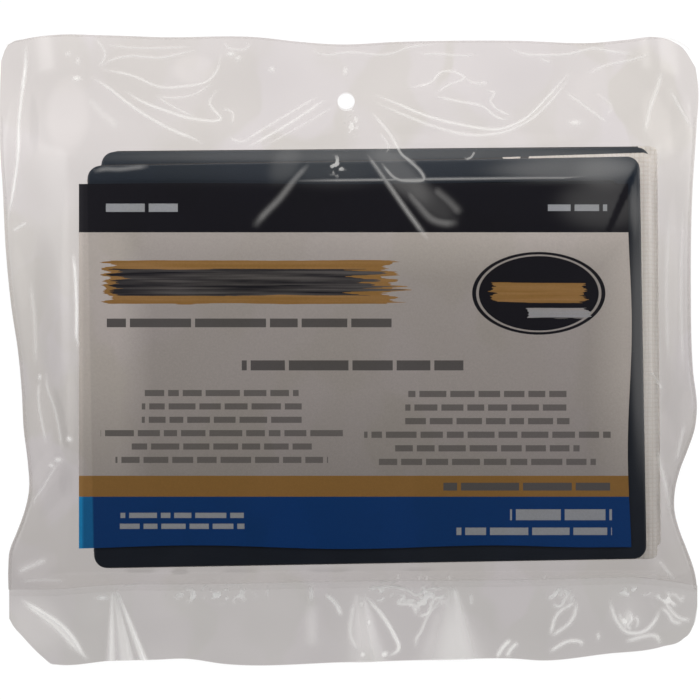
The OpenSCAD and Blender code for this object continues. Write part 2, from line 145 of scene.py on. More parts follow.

# Creases in the header and over the top of the stack: how white (stress whitening and painted
# highlight), how wide, and the points of each.
HEADER_CREASES = (
    (1.00, 0.35, ((-75.0, 71.6), (-75.0, 66.0), (-75.8, 59.8), (-76.4, 53.0), (-76.8, 43.3),
        (-77.6, 38.1), (-79.2, 29.6))),
    (0.60, 0.32, ((-60.3, 63.4), (-56.0, 60.8), (-52.0, 57.6), (-47.8, 54.6), (-39.5, 50.0),
        (-36.0, 48.6), (-32.8, 46.8))),
    (0.22, 0.83, ((-60.3, 58.2), (-57.0, 54.6), (-53.0, 51.0))),
    (0.55, 0.29, ((-58.2, 65.2), (-49.9, 63.4), (-43.6, 60.8), (-38.0, 61.0), (-32.3, 62.6),
        (-30.5, 65.0), (-29.7, 69.6))),
    (0.45, 0.29, ((-58.2, 65.2), (-56.0, 66.8), (-52.0, 68.0), (-43.0, 67.8), (-38.3, 68.9),
        (-34.8, 69.6))),
    (0.40, 0.29, ((-58.7, 72.2), (-56.6, 68.6), (-58.0, 65.5))),
    (0.35, 0.29, ((-56.6, 70.7), (-49.0, 70.0), (-41.0, 70.1), (-36.0, 70.4))),
    (0.60, 0.32, ((-52.6, 60.4), (-48.4, 57.6), (-42.0, 55.0), (-36.1, 53.2), (-29.6, 53.2),
        (-32.2, 57.0), (-29.9, 60.8))),
    (0.35, 0.29, ((-44.8, 58.7), (-41.5, 58.2), (-36.9, 58.7), (-31.3, 61.8))),
    (0.35, 0.29, ((-44.8, 58.7), (-40.8, 56.2), (-35.2, 53.4))),
    (0.40, 0.29, ((-29.4, 55.6), (-27.0, 54.8), (-26.9, 51.7))),
    (0.35, 0.38, ((-27.6, 48.6), (-25.0, 47.8), (-22.5, 48.5))),
    (0.60, 0.32, ((-4.9, 58.2), (-14.7, 51.5), (-23.5, 46.3))),
    (0.45, 0.29, ((-6.6, 59.0), (-16.0, 53.1), (-24.9, 47.5))),
    (0.30, 0.29, ((-3.4, 56.2), (-11.0, 51.6), (-19.0, 46.9))),
    (0.45, 0.29, ((-9.5, 70.1), (-6.5, 68.6), (0.2, 69.0), (9.5, 68.6), (13.7, 70.1), (20.9, 70.9))),
    (0.35, 0.29, ((-29.2, 71.7), (-28.1, 70.2), (-25.0, 69.6), (-23.2, 70.4), (-24.0, 71.7))),
    (0.65, 0.32, ((4.6, 59.4), (10.6, 57.0), (17.3, 54.1), (26.1, 51.7), (35.4, 50.9), (40.6, 53.3),
        (45.7, 58.2), (52.0, 65.5))),
    (0.50, 0.32, ((4.9, 57.6), (12.0, 54.4), (20.0, 51.2), (27.5, 49.4), (36.0, 50.2), (42.0, 53.2),
        (47.6, 58.6), (52.2, 64.4))),
    (0.50, 0.29, ((13.2, 60.5), (19.4, 62.3), (20.9, 64.1), (23.4, 64.6), (26.7, 63.1), (23.0, 61.3),
        (19.4, 58.7))),
    (0.50, 0.29, ((19.4, 58.7), (25.0, 57.4), (31.3, 55.8), (33.4, 54.0), (35.9, 53.0), (37.5, 53.8))),
    (0.45, 0.29, ((37.5, 53.8), (33.4, 56.1), (32.6, 57.4), (33.6, 59.3), (31.3, 60.0))),
    (0.35, 0.29, ((26.7, 63.1), (28.2, 62.0), (31.8, 61.8), (29.2, 61.0))),
    (0.40, 0.32, ((15.8, 68.6), (20.9, 68.6), (28.2, 68.3), (29.7, 68.6))),
    (0.50, 0.32, ((36.4, 70.7), (39.0, 69.1), (45.7, 68.3), (51.0, 68.6), (56.6, 69.9), (61.3, 69.1),
        (67.5, 68.6))),
    (0.40, 0.32, ((44.2, 67.8), (45.4, 67.0), (46.8, 66.6))),
    (0.40, 0.38, ((55.1, 63.9), (58.2, 65.5), (66.5, 67.5), (70.1, 68.6))),
    (0.35, 0.38, ((49.9, 59.7), (54.5, 56.1), (59.8, 52.0))),
    (0.22, 0.38, ((57.0, 59.8), (60.5, 55.6), (59.0, 53.6))),
    (0.45, 0.51, ((72.6, 64.9), (71.7, 61.8), (69.6, 56.1), (68.0, 49.4))),
    (0.35, 0.45, ((74.2, 60.3), (77.4, 54.6), (79.5, 51.5))),
    (0.55, 0.32, ((4.9, 55.1), (9.5, 49.4), (12.7, 44.2), (15.8, 42.6))),
    (0.30, 0.32, ((7.0, 50.0), (9.0, 46.0), (8.0, 44.6))),
    (0.30, 0.29, ((-14.9, 38.7), (2.5, 38.9), (26.6, 39.2), (48.5, 39.4), (60.4, 39.3), (61.8, 38.7))),
    (0.30, 0.51, ((2.8, 46.7), (8.0, 39.4), (13.1, 32.0), (18.6, 24.5))),
    (0.42, 0.38, ((6.7, 44.2), (8.5, 41.4), (10.8, 39.2), (14.0, 38.7), (17.2, 39.2), (16.3, 41.0),
        (15.4, 41.9), (12.9, 44.0), (10.1, 45.6))),
    (0.16, 0.83, ((12.6, 37.5), (15.8, 33.4), (19.5, 29.7), (22.7, 29.0), (25.3, 29.3))),
    (0.12, 0.90, ((19.1, 37.1), (23.2, 33.6), (25.7, 30.9))),
    (0.18, 0.70, ((-8.5, 43.3), (-12.2, 39.4), (-15.8, 34.8), (-20.0, 30.4), (-22.0, 27.9))),
    (0.20, 0.51, ((-59.0, 40.8), (-56.3, 41.4), (-52.6, 41.4), (-49.6, 41.7), (-45.7, 42.1))),
    (0.45, 0.29, ((26.6, 43.7), (27.8, 44.0), (28.9, 45.6))),
)

# Folds in the sides of the pouch and above the seal.
SIDE_CREASES = (
    (0.50, 0.38, ((-78.0, 27.5), (-75.7, 28.7), (-74.4, 29.4))),
    (0.95, 0.29, ((-63.4, 22.6), (-63.0, 19.2), (-62.7, 14.4), (-62.5, 8.8), (-62.5, 6.3),
        (-62.3, 1.7), (-61.7, 0.2))),
    (0.35, 0.38, ((-71.4, -6.6), (-71.8, -10.5), (-70.5, -18.7), (-69.8, -21.9))),
    (0.30, 0.38, ((-69.8, -5.0), (-69.5, -8.9), (-67.9, -13.1), (-66.6, -18.7), (-65.9, -23.3))),
    (0.24, 0.38, ((-66.6, -25.8), (-68.5, -28.4), (-70.5, -31.6), (-72.8, -34.6), (-73.7, -36.9))),
    (0.32, 0.58, ((-76.9, -51.6), (-73.0, -49.8), (-69.3, -48.2))),
    (0.22, 0.45, ((-76.5, -54.0), (-71.0, -53.2), (-65.0, -53.4))),
    (0.30, 0.45, ((69.0, -4.7), (70.6, -7.0), (72.2, -9.3))),
    (0.30, 0.58, ((70.6, -21.9), (71.8, -27.2), (73.2, -31.6), (74.5, -37.0), (74.8, -38.6))),
    (0.28, 0.51, ((77.6, -17.0), (76.6, -22.0), (76.0, -26.0))),
    (0.22, 0.51, ((73.6, 30.0), (73.0, 12.0), (73.6, -4.0))),
    (0.22, 0.51, ((77.6, 34.0), (76.8, 14.0), (77.4, -6.0))),
    (0.24, 0.51, ((-73.6, 16.0), (-72.6, 6.0), (-72.4, -4.0))),
    (0.30, 0.32, ((45.0, -51.8), (45.1, -53.2))),
    (0.35, 0.29, ((11.3, -51.5), (11.3, -53.2))),
    (0.30, 0.29, ((16.2, -52.0), (16.2, -53.4))),
    (0.30, 0.29, ((17.9, -52.0), (17.9, -53.4))),
    (0.30, 0.29, ((23.0, -52.0), (23.2, -53.4))),
    (0.25, 0.51, ((70.8, -48.0), (73.6, -51.4), (75.6, -53.6))),
)

# Creases of the loose lips: the long diagonal one, the drop, the bubbles and the loops at the right.
SKIRT_CREASES = (
    (1.00, 0.45, ((-76.3, -58.0), (-71.7, -60.6), (-65.9, -64.7), (-63.9, -67.1), (-61.8, -70.6),
        (-60.3, -72.2))),
    (0.77, 0.42, ((-75.8, -58.8), (-69.1, -63.4), (-64.9, -67.6), (-61.8, -71.2))),
    (0.56, 1.08, ((-72.0, -60.9), (-66.5, -65.2), (-62.6, -70.0))),
    (0.98, 0.45, ((-5.6, -56.6), (-3.2, -58.8), (-1.7, -61.8))),
    (0.98, 0.42, ((3.2, -56.8), (7.0, -60.9), (10.0, -65.5), (11.4, -69.7), (8.6, -71.2))),
    (0.42, 0.59, ((1.2, -58.1), (0.7, -67.4), (2.6, -70.6))),
    (0.91, 0.42, ((10.9, -56.6), (12.7, -57.3), (11.4, -58.6), (14.7, -59.3), (15.8, -61.9))),
    (0.91, 0.42, ((15.8, -61.9), (18.1, -61.3), (19.9, -57.8), (22.0, -57.2), (23.0, -56.4))),
    (0.70, 0.38, ((15.8, -56.6), (16.7, -57.7), (18.3, -56.8), (20.2, -57.7))),
    (0.55, 0.42, ((15.7, -69.6), (15.5, -67.5), (16.7, -65.3), (18.2, -62.0), (22.8, -56.2))),
    (0.75, 0.40, ((5.2, -55.4), (8.2, -55.0), (10.7, -55.1), (13.7, -55.9), (15.7, -57.0),
        (17.5, -55.9), (20.8, -55.4), (22.8, -55.4))),
    (0.77, 0.42, ((46.3, -70.2), (51.9, -67.6), (54.0, -68.1), (53.6, -69.2))),
    (0.77, 0.42, ((46.6, -66.6), (48.4, -61.3), (53.0, -58.3))),
    (0.70, 0.42, ((53.0, -58.3), (51.9, -62.4), (46.8, -66.7))),
    (0.77, 0.42, ((46.9, -58.9), (48.7, -59.6), (50.4, -57.4), (51.6, -55.4))),
    (0.60, 0.42, ((48.1, -55.3), (49.2, -56.4), (49.0, -57.7))),
    (0.91, 0.49, ((34.2, -71.6), (35.6, -69.3), (37.6, -67.2))),
    (0.77, 0.49, ((36.4, -71.6), (37.4, -69.8), (39.2, -67.9))),
    (0.60, 0.42, ((62.6, -60.8), (63.2, -62.8), (64.6, -65.0))),
    (0.70, 0.45, ((64.4, -60.8), (65.4, -62.6), (64.6, -64.0), (65.6, -65.2))),
    (0.45, 0.40, ((66.2, -61.6), (66.9, -63.4), (66.4, -64.8))),
    (0.77, 0.45, ((60.3, -57.2), (61.8, -62.4), (64.4, -65.5), (68.0, -65.5), (71.2, -62.4),
        (72.1, -59.8))),
    (0.63, 0.45, ((72.1, -59.8), (73.7, -60.9), (75.2, -63.0), (77.4, -63.6))),
    (0.60, 0.45, ((72.9, -57.7), (74.2, -60.0), (76.4, -62.2), (79.4, -62.9))),
    (0.63, 0.49, ((63.9, -67.6), (71.7, -67.1), (72.1, -68.6))),
    (0.42, 0.42, ((73.1, -58.1), (74.9, -56.8), (77.7, -58.8))),
    (0.63, 0.42, ((28.2, -56.6), (28.4, -59.3))),
)

# Bands that fan from the seal: start and end, half width at both, from and to how far down,
# height, and the strength of a painted highlight or, below 0, of a painted line of shade.
SKIRT_BANDS = (
    (-54.9, -55.1, 0.25, 0.90, 0.04, 1.20, 0.5, 0.70),
    (-54.6, -51.6, 0.30, 2.00, 0.05, 1.20, 0.9, 0.50),
    (-54.4, -47.4, 0.25, 0.85, 0.02, 1.20, 0.7, 0.75),
    (-54.7, -53.2, 0.12, 0.35, 0.25, 1.20, 0.0, -1.00),
    (-54.5, -49.2, 0.12, 0.35, 0.20, 1.20, 0.0, -1.00),
    (-18.9, -18.8, 0.40, 0.60, 0.00, 0.22, 0.3, 0.45),
    (-8.8, -8.7, 0.45, 0.80, 0.00, 0.28, 0.5, 0.95),
    (-8.8, -8.6, 1.20, 1.60, 0.20, 0.85, 0.3, 0.22),
    (23.8, 24.2, 0.40, 6.00, 0.02, 1.20, 1.8, 0.46),
    (22.8, 18.8, 0.30, 3.40, 0.30, 1.20, 0.5, 0.18),
    (2.2, 4.3, 0.80, 3.70, 0.08, 1.20, 1.6, 0.26),
    (62.0, 66.2, 2.00, 4.60, 0.05, 0.70, 0.9, 0.10),
)

# Length of a band's first and last part, over which it comes and goes, and how its height grows.
BAND_START = 0.12
BAND_END = 0.15
BAND_POWER = 0.7

# Painted glints, as bright spots on the front wall and on the lips: place, reach both ways and
# whiteness.
WALL_GLINTS = (
    (-63.1, 62.9, 0.8, 0.5, 0.95),
    (-27.4, 68.6, 0.8, 0.5, 0.80),
    (-25.8, 67.6, 0.7, 0.6, 0.55),
    (-17.9, 65.0, 0.7, 0.6, 0.55),
    (52.0, 52.3, 1.3, 0.6, 0.60),
    (-0.9, 64.7, 0.5, 0.9, 0.60),
    (-65.2, 68.6, 0.5, 0.5, 0.50),
    (-62.9, 67.0, 0.4, 0.8, 0.50),
    (-64.2, -20.6, 0.6, 0.5, 0.80),
    (-66.9, -25.4, 0.9, 0.5, 0.60),
    (-68.5, -26.7, 0.7, 0.5, 0.50),
    (-71.4, -6.3, 0.4, 0.6, 0.70),
)
SKIRT_GLINTS = (
    (-57.2, -57.6, 1.3, 0.5, 0.95),
    (2.8, -59.0, 0.5, 0.6, 0.80),
    (4.6, -63.2, 0.4, 0.7, 0.60),
    (3.2, -70.6, 0.6, 0.6, 0.95),
    (8.3, -70.6, 0.7, 0.6, 0.95),
    (57.8, -66.5, 0.4, 0.8, 0.60),
    (64.7, -62.4, 1.1, 2.2, 0.55),
    (15.2, -59.4, 0.7, 0.6, 0.70),
)

# Groups of tight puckers: middle and reach both ways of each.
WALL_PUCKERS = ((-2.8, 42.2, 2.0, 2.4), (0.6, 52.6, 1.6, 3.4))
SKIRT_PUCKERS = (
    (-31.5, -56.9, 8.5, 1.9), (17.0, -57.6, 5.5, 2.8), (64.6, -63.2, 1.8, 2.4), (66.0, -56.2, 4.0, 1.1),
    (7.0, -56.6, 3.0, 1.8), (49.0, -57.4, 3.0, 2.0), (74.0, -58.0, 3.4, 1.6),
)
# Whiteness of the painted glints on the front wall's puckers.
WALL_PUCKER_GLINT = 0.6
SKIRT_PUCKER_RISE = 0.2
FLECK_LEVEL = 0.02
FLECK_SPAN = 0.22

# Painted light and shade: lighter and darker patches where the film tilts, and small painted shadows
# under the plate: place, reach both ways, turn in degrees, amount.
WALL_LIGHT_AND_SHADE = (
    (-65.0, 54.0, 5.0, 9.0, 0, 0.9),
    (-72.8, 52.0, 1.2, 7.0, 4, -0.8),
    (-36.0, 65.0, 5.0, 3.4, 0, 0.7),
    (-64.0, 12.0, 2.2, 27.0, 0, 0.8),
    (-69.4, 10.0, 3.2, 17.0, 3, -0.7),
    (-76.2, 16.5, 1.9, 7.5, 8, 0.5),
    (-71.6, -28.4, 1.6, 6.5, -33, 0.5),
    (-68.0, -33.6, 1.9, 6.0, -35, -0.5),
    (-66.2, -16.0, 1.2, 7.0, 12, -1.1),
    (-63.8, -13.0, 1.1, 9.0, 0, 0.8),
    (-70.6, -16.0, 2.4, 9.0, 8, 0.4),
    (-65.0, -30.0, 1.8, 4.0, 0, -0.7),
    (71.0, 52.0, 3.0, 8.0, 14, 0.7),
    (76.0, 52.0, 2.0, 8.0, 0, -0.5),
    (30.0, 48.5, 22.0, 1.6, 0, 0.4),
    (74.6, 16.0, 1.5, 20.0, 0, 0.6),
    (75.6, 6.0, 4.5, 36.0, 0, -0.5),
    (78.2, -14.0, 1.8, 5.0, 0, 0.5),
    (73.0, -18.0, 1.6, 5.0, 25, 0.5),
    (74.4, -33.0, 1.0, 6.0, 12, -0.7),
    (60.0, 60.0, 8.0, 6.0, 0, 0.3),
    (-72.0, -50.0, 6.0, 2.4, 25, 0.4),
    # Painted shadow: small dark smudges just under the plate's lower edge.
    (-48.0, -50.9, 3.6, 0.45, 0, -1.5),
    (-38.8, -51.1, 2.0, 0.6, 0, -1.8),
    (-25.0, -51.0, 4.5, 0.4, 0, -1.2),
    (-4.4, -50.8, 5.0, 0.4, 1, -1.2),
    (16.3, -50.5, 4.0, 0.4, 1, -1.2),
    (69.6, -1.5, 2.0, 47.0, 1, 0.6),
)
SKIRT_LIGHT_AND_SHADE = (
    (-72.6, -64.0, 6.0, 7.0, 45, 1.5),
    (-60.0, -60.5, 4.0, 3.0, 0, 0.2),
    (3.4, -64.5, 2.2, 5.5, 10, 1.0),
    (-8.7, -63.0, 1.6, 3.4, 0, 0.5),
    (22.6, -68.5, 6.4, 3.6, 0, 0.5),
    (-40.0, -66.0, 9.0, 4.0, 0, -0.4),
    (-18.0, -66.0, 7.0, 5.0, 0, -0.3),
    (66.6, -60.5, 3.0, 3.6, 0, 0.3),
)

# Painted sheen on the film over the contents, one stripe of it darker: place, reach both ways, turn in
# degrees, strength.
WALL_SHEENS = (
    (3.4, 42.4, 66.0, 4.2, 0.5, 0.022),
    (51.0, 41.6, 17.0, 2.9, 1, 0.125),
    (58.0, 33.4, 9.5, 5.6, 0, 0.050),
    (59.5, 41.0, 7.0, 4.0, 0, 0.060),
    (66.8, 2.0, 2.2, 27.0, 1, 0.085),
    (5.3, 44.9, 64.0, 1.7, 0.5, 0.090),
    (-14.7, 42.6, 3.0, 4.6, -32, 0.050),
    (11.7, 40.3, 8.5, 3.4, -45, 0.100),
    (-3.2, 41.2, 10.0, 4.0, 0, 0.020),
    (19.5, 33.4, 6.0, 2.8, -42, 0.045),
    (69.4, -1.5, 1.8, 46.0, 1, 0.150),
    (63.2, 35.6, 0.8, 9.0, -24, -0.120),
    (65.6, 32.6, 1.0, 6.5, 1, 0.070),
)

# How sharp the borders of the painted sheens and of the painted light and shade patches are, and how
# uneven the back film's tint is.
SHEEN_EDGE = 2
WALL_PATCH_EDGE = 4
SKIRT_PATCH_EDGE = 2
BACK_TONE = 0.5

# Insert card, the bow along it, the lean of its right end and the ripple of its face.
CARD_CENTRE = (1.198, -3.631)
CARD_SIZE = (126.5, 83.5)
CARD_Z = 14.03
CARD_THICK = 0.3
CARD_BOW = 0.12
CARD_LOW_BOW = 0.30
CARD_BOW_LENGTH = 11.0
CARD_BOW_START = -1.4
CARD_BOW_END = 4
CARD_LEAN = 0.45
CARD_LEAN_LENGTH = 9.0
CARD_LEAN_START = 0.6
CARD_RIPPLE = 0.06
CARD_RIPPLE_LENGTHS = (8.0, 13.0)

# Fields of its print: where the black one ends, and where the gold and the blue one start.
BLACK_END = 11.2
GOLD_START = 67.1
BLUE_START = 71.9

# Pads: middle, turn in degrees and lowest height of each, and the sizes that both share.
PADS = {"front": ((4.098, -2.931), 1.0, 7.04), "rear": ((6.498, 0.069), 0.5, 0.35)}
PLATE_SIZE = (127.0, 92.5)
RIGHT_OVERHANG = {"front": 2.8, "rear": 2.1}
LEFT_OVERHANG = 0.4
LOWER_OVERHANG = 0.3
UPPER_OVERHANG = 0.4
LEFT_CORNER = 4.0
RIGHT_CORNER = 1.5
PILE_THICK = 1.4
CLOTH_THICK = 0.4
GLUE = 0.02
FOAM_THICK = 3.0
FOAM_INSET = 0.5
FOAM_CORNER = 3.0
WEAVE_PITCH = 1.03
THREAD_RISE = 0.05
CLOTH_PULL = {"front": 0.6, "rear": 0.0}
CLOTH_PULL_SPAN = (20.0, 62.0)
CLOTH_PULL_ROWS = (0.8, 1.0)
CLOTH_BORDER = 5.0
CLOTH_SHARES = (0.0, 0.2, 0.4, 1.0)
FRAY = 0.14
FRAY_BORDER = 0.6
CORNER_SEGMENTS = 6

# Roughness of pile and foam: voxels, matted threads, uneven sides, pores, and how far sides draw in.
PILE_VOXEL = 0.8
FOAM_VOXEL = 0.9
MATTING_RISE = 0.16
CLUMP_RISE = 0.12
PILE_ROUGH = 0.2
PILE_DRAW = (0.012, 0.014)
PORE_DEPTH = 0.12
FOAM_WAIST = (0.007, 0.009)

# Cutting of the front film near its creases: how wide a band around each one, and the cuts per face.
FINE_BAND = 1.0
FINE_LEVEL = 0.25
FINE_CUTS = 2

# Run of a crease: points between two of its own, widths that it reaches, and how fast its ends fade.
CREASE_STEPS = 6
CREASE_REACH = 4
CREASE_TAPER = 6

# How far creases, slack film and the loose lips stand out.
CREASE_RISE = 0.22
LOOSE_RISE = 0.25
LIP_WAVE = 0.6
LIP_WAVE_LENGTH = 10.5
LIP_WAVE_START = 1.1
LIP_PART = 0.8

# Heat seal: its band, its crimps, and the pale line along it, broken at random.
SEAL_WIDTH = 1.7
SEAL_LAP = 0.2
SEAL_CREST = 0.05
CRIMP_RISE = 0.02
CRIMP_PITCH = 1.3
PALE_LINE_LEVEL = 0.1
PALE_LINE_SPAN = 0.4
PALE_LINE_WHITE = 0.30
SEAL_WHITE = 0.06
PALE_LINE_PLACE = 0.75
PALE_LINE_REACH = 0.18

# Side welds and the fold along the top edge.
BEAD_HALF = 0.4
BEAD_LIFT = 0.04
BEAD_RISE = 0.10
BEAD_THICK = 0.12
FOLD_LEFT = -79.6
FOLD_RIGHT = 79.0
FOLD_REACH = 0.5
FOLD_HALF_HEIGHT = 0.2


def clear_selection():
    """Goes to object mode with nothing selected."""
    if bpy.context.mode != "OBJECT":
        bpy.ops.object.mode_set(mode="OBJECT")
    bpy.ops.object.select_all(action="DESELECT")


def choose(piece):
    """Selects one piece alone and makes it active."""
    clear_selection()
    piece.select_set(True)
    bpy.context.view_layer.objects.active = piece


def smooth_line(points, places):
    """The value at each place on a smooth line through given points."""
    stops = np.array([point[0] for point in points])
    values = np.array([point[1] for point in points])
    slopes = np.gradient(values, stops)
    places = np.clip(places, stops[0], stops[-1])
    index = np.clip(np.searchsorted(stops, places) - 1, 0, len(stops) - 2)
    span = stops[index + 1] - stops[index]
    share = (places - stops[index]) / span
    rise = share * share * (3 - 2 * share)
    leave = share * (1 - share) ** 2 * span * slopes[index]
    arrive = share * share * (share - 1) * span * slopes[index + 1]
    return values[index] * (1 - rise) + values[index + 1] * rise + leave + arrive


def ease(share):
    """A smooth step from 0 to 1."""
    share = np.clip(share, 0, 1)
    return share * share * (3 - 2 * share)


def soft_ramp(share):
    """A straight ramp from 0 to 1 with soft ends."""
    share = np.clip(share, 0, 1)
    start = share * share / (2 * RAMP_SOFT)
    finish = 1 - RAMP_SOFT - (1 - share) ** 2 / (2 * RAMP_SOFT)
    ramp = np.where(share < RAMP_SOFT, start, share - RAMP_SOFT / 2)
    return np.where(share > 1 - RAMP_SOFT, finish, ramp) / (1 - RAMP_SOFT)


def left_edge(y):
    """Distance of the bag's left edge from the middle."""
    return smooth_line(LEFT_EDGE, y)


def right_edge(y):
    """Distance of the bag's right edge from the middle."""
    return smooth_line(RIGHT_EDGE, y)


def seal_line(x):
    """Height of the heat seal across the bag."""
    return smooth_line(SEAL_LINE, x)


def pouch_drop(x, y, flat):
    """How far a wall has left the contents: 0 over them, 1 where the two walls meet."""
    flat_left, flat_low, flat_right, flat_high = flat
    left = (flat_left - x) / (flat_left - left_edge(y) - WELD)
    right = (x - flat_right) / (right_edge(y) - WELD - flat_right)
    low = np.clip((flat_low - y) / (flat_low - seal_line(x)), 0, 1)
    high = np.clip((y - flat_high) / (TOP_REST_Y - flat_high), 0, 1)
    across = np.clip(np.maximum(left, right), 0, 1)
    total = across**CORNER_POWER + low**CORNER_POWER + high**CORNER_POWER
    share = np.clip(total ** (1 / CORNER_POWER), 0, 1)
    upward = high**CORNER_POWER / np.maximum(total, TINY)
    return share**SIDE_BULGE * (1 - upward) + soft_ramp(share) * upward


def film_dome(x, y):
    """The slight crown of the front wall over the contents."""
    flat_left, flat_low, flat_right, flat_high = FRONT_FLAT
    across = (2 * x - flat_left - flat_right) / ((flat_right - flat_left) * DOME_REACH)
    along = (2 * y - flat_low - flat_high) / ((flat_high - flat_low) * DOME_REACH)
    return DOME_RISE * np.clip(1 - across**DOME_POWER, 0, 1) * np.clip(1 - along**DOME_POWER, 0, 1)


def noise_field(x, y, use):
    """Soft noise from -1 to 1, at the scale and with the seed of its use."""
    scale, seed = NOISE[use]
    return np.array([noise.noise(Vector((a / scale, b / scale, seed))) for a, b in zip(x, y)])


def along_crease(points):
    """Points of a smooth run through a crease's own points."""
    points = np.array(points)
    lengths = np.linalg.norm(np.diff(points, axis=0), axis=1)
    stops = np.concatenate([[0], np.cumsum(lengths)])
    places = np.linspace(0, stops[-1], CREASE_STEPS * len(lengths) + 1)
    columns = [smooth_line(list(zip(stops, points[:, axis])), places) for axis in (0, 1)]
    return np.stack(columns, axis=1)


def crease_field(x, y, creases):
    """How white all creases make the film at each place, as stress whitening and painted highlight; they
    fade towards their ends.
    """
    white = np.zeros(len(x))
    for strength, width, points in creases:
        line = along_crease(points)
        reach = CREASE_REACH * width
        inside = (x > line[:, 0].min() - reach) & (x < line[:, 0].max() + reach)
        inside &= (y > line[:, 1].min() - reach) & (y < line[:, 1].max() + reach)
        spots = np.stack([x[inside], y[inside]], axis=1)
        nearest = np.full(len(spots), np.inf)
        along = np.zeros(len(spots))
        for index in range(len(line) - 1):
            step = line[index + 1] - line[index]
            share = np.clip(((spots - line[index]) @ step) / (step @ step), 0, 1)
            distance = np.linalg.norm(spots - line[index] - share[:, None] * step, axis=1)
            closer = distance < nearest
            nearest = np.where(closer, distance, nearest)
            along = np.where(closer, (index + share) / (len(line) - 1), along)
        taper = np.clip(np.minimum(along, 1 - along) * CREASE_TAPER, 0, 1)
        ridge = np.exp(-((nearest / width) ** 2)) * taper
        white[inside] = np.maximum(white[inside], strength * ridge)
    return white


def spot_field(x, y, spots):
    """How white the painted glints of the bright spots make the film."""
    white = np.zeros(len(x))
    for middle_x, middle_y, reach_x, reach_y, strength in spots:
        away = ((x - middle_x) / reach_x) ** 2 + ((y - middle_y) / reach_y) ** 2
        white = np.maximum(white, strength * np.exp(-away))
    return white


def group_field(x, y, groups):
    """Where groups of puckers lie, from 1 in the middle of each to 0."""
    place = np.zeros(len(x))
    for middle_x, middle_y, reach_x, reach_y in groups:
        away = ((x - middle_x) / reach_x) ** 2 + ((y - middle_y) / reach_y) ** 2
        place = np.maximum(place, np.exp(-away * away))
    return place


def pucker_field(x, y, groups, use):
    """Tight crimps in a few places, as sharp bright flecks of painted glint."""
    flecks = ease((noise_field(x, y, use) - FLECK_LEVEL) / FLECK_SPAN)
    return group_field(x, y, groups) * flecks


def patch_field(x, y, patches, edge):
    """Where the film looks lighter or darker than the rest, as painted light and shade; a higher edge
    gives a sharper border.
    """
    tone = np.zeros(len(x))
    for middle_x, middle_y, reach_x, reach_y, turn, amount in patches:
        cosine = math.cos(math.radians(turn))
        sine = math.sin(math.radians(turn))
        across = ((x - middle_x) * cosine + (y - middle_y) * sine) / reach_x
        along = ((y - middle_y) * cosine - (x - middle_x) * sine) / reach_y
        tone += amount * np.exp(-((across**2 + along**2) ** edge))
    return tone


def band_field(x, y):
    """Height, painted highlight and painted lines of shade of the bands that fan from the seal to the
    free edge.
    """
    share = np.clip((seal_line(x) - y) / SKIRT_DEPTH, 0, 1)
    height = np.zeros(len(x))
    white = np.zeros(len(x))
    shade_lines = np.zeros(len(x))
    for start, end, start_half, end_half, first, last, rise, strength in SKIRT_BANDS:
        middle = start + (end - start) * share
        half = start_half + (end_half - start_half) * share
        run = ease((share - first) / BAND_START) * ease((last - share) / BAND_END)
        profile = np.exp(-(((x - middle) / half) ** 2)) * run
        height += rise * profile * share**BAND_POWER
        # White bands are painted highlights; dark ones are painted lines of shade.
        white = np.maximum(white, max(strength, 0) * profile)
        shade_lines = np.minimum(shade_lines, min(strength, 0) * profile)
    return height, white, shade_lines


def unit_grid(name):
    """A flat grid from 0 to 1 both ways, to be shaped point by point."""
    columns, rows = GRIDS[name]
    clear_selection()
    bpy.ops.mesh.primitive_grid_add(
        x_subdivisions=columns, y_subdivisions=rows, size=1, location=(0.5, 0.5, 0)
    )
    piece = bpy.context.object
    piece.name = name
    piece.data.name = name
    bpy.ops.object.transform_apply(location=True, rotation=True, scale=True)
    return piece


def points_of(piece):
    """A mesh's points as three rows of numbers."""
    points = np.empty(len(piece.data.vertices) * 3)
    piece.data.vertices.foreach_get("co", points)
    return points.reshape(-1, 3).T


def place_points(piece, x, y, z):
    """Puts a mesh's points at places given in millimetres."""
    points = np.stack([x, y, z], axis=1) * MM
    piece.data.vertices.foreach_set("co", points.ravel())
    piece.data.update()


def keep_marks(piece, white, tone):
    """Keeps the film's whitening, stress whitening with painted highlights, glints and sheen, and its
    tone, painted light and shade or uneven tint, on the mesh for its material.
    """
    for label, values in (("white", np.clip(white, 0, 1)), ("tone", tone)):
        layer = piece.data.attributes.new(label, "FLOAT", "POINT")
        layer.data.foreach_set("value", values)


def apply_modifier(piece, kind, **settings):
    """Adds a modifier with its settings and applies it."""
    choose(piece)
    modifier = piece.modifiers.new(kind.title(), kind)
    for setting, value in settings.items():
        setattr(modifier, setting, value)
    bpy.ops.object.modifier_apply(modifier=modifier.name)


def give_thickness(piece, thickness):
    """Makes a sheet a thin closed wall below its own surface."""
    apply_modifier(piece, "SOLIDIFY", thickness=thickness * MM, offset=-1)


def smooth_shading(piece, angle):
    """Shades a piece smoothly, but for edges sharper than an angle in degrees."""
    choose(piece)
    bpy.ops.object.shade_smooth_by_angle(angle=math.radians(angle))


def turn_over(piece):
    """Turns a sheet's faces to its other side."""
    choose(piece)
    bpy.ops.object.mode_set(mode="EDIT")
    bpy.ops.mesh.select_all(action="SELECT")
    bpy.ops.mesh.flip_normals()
    bpy.ops.object.mode_set(mode="OBJECT")


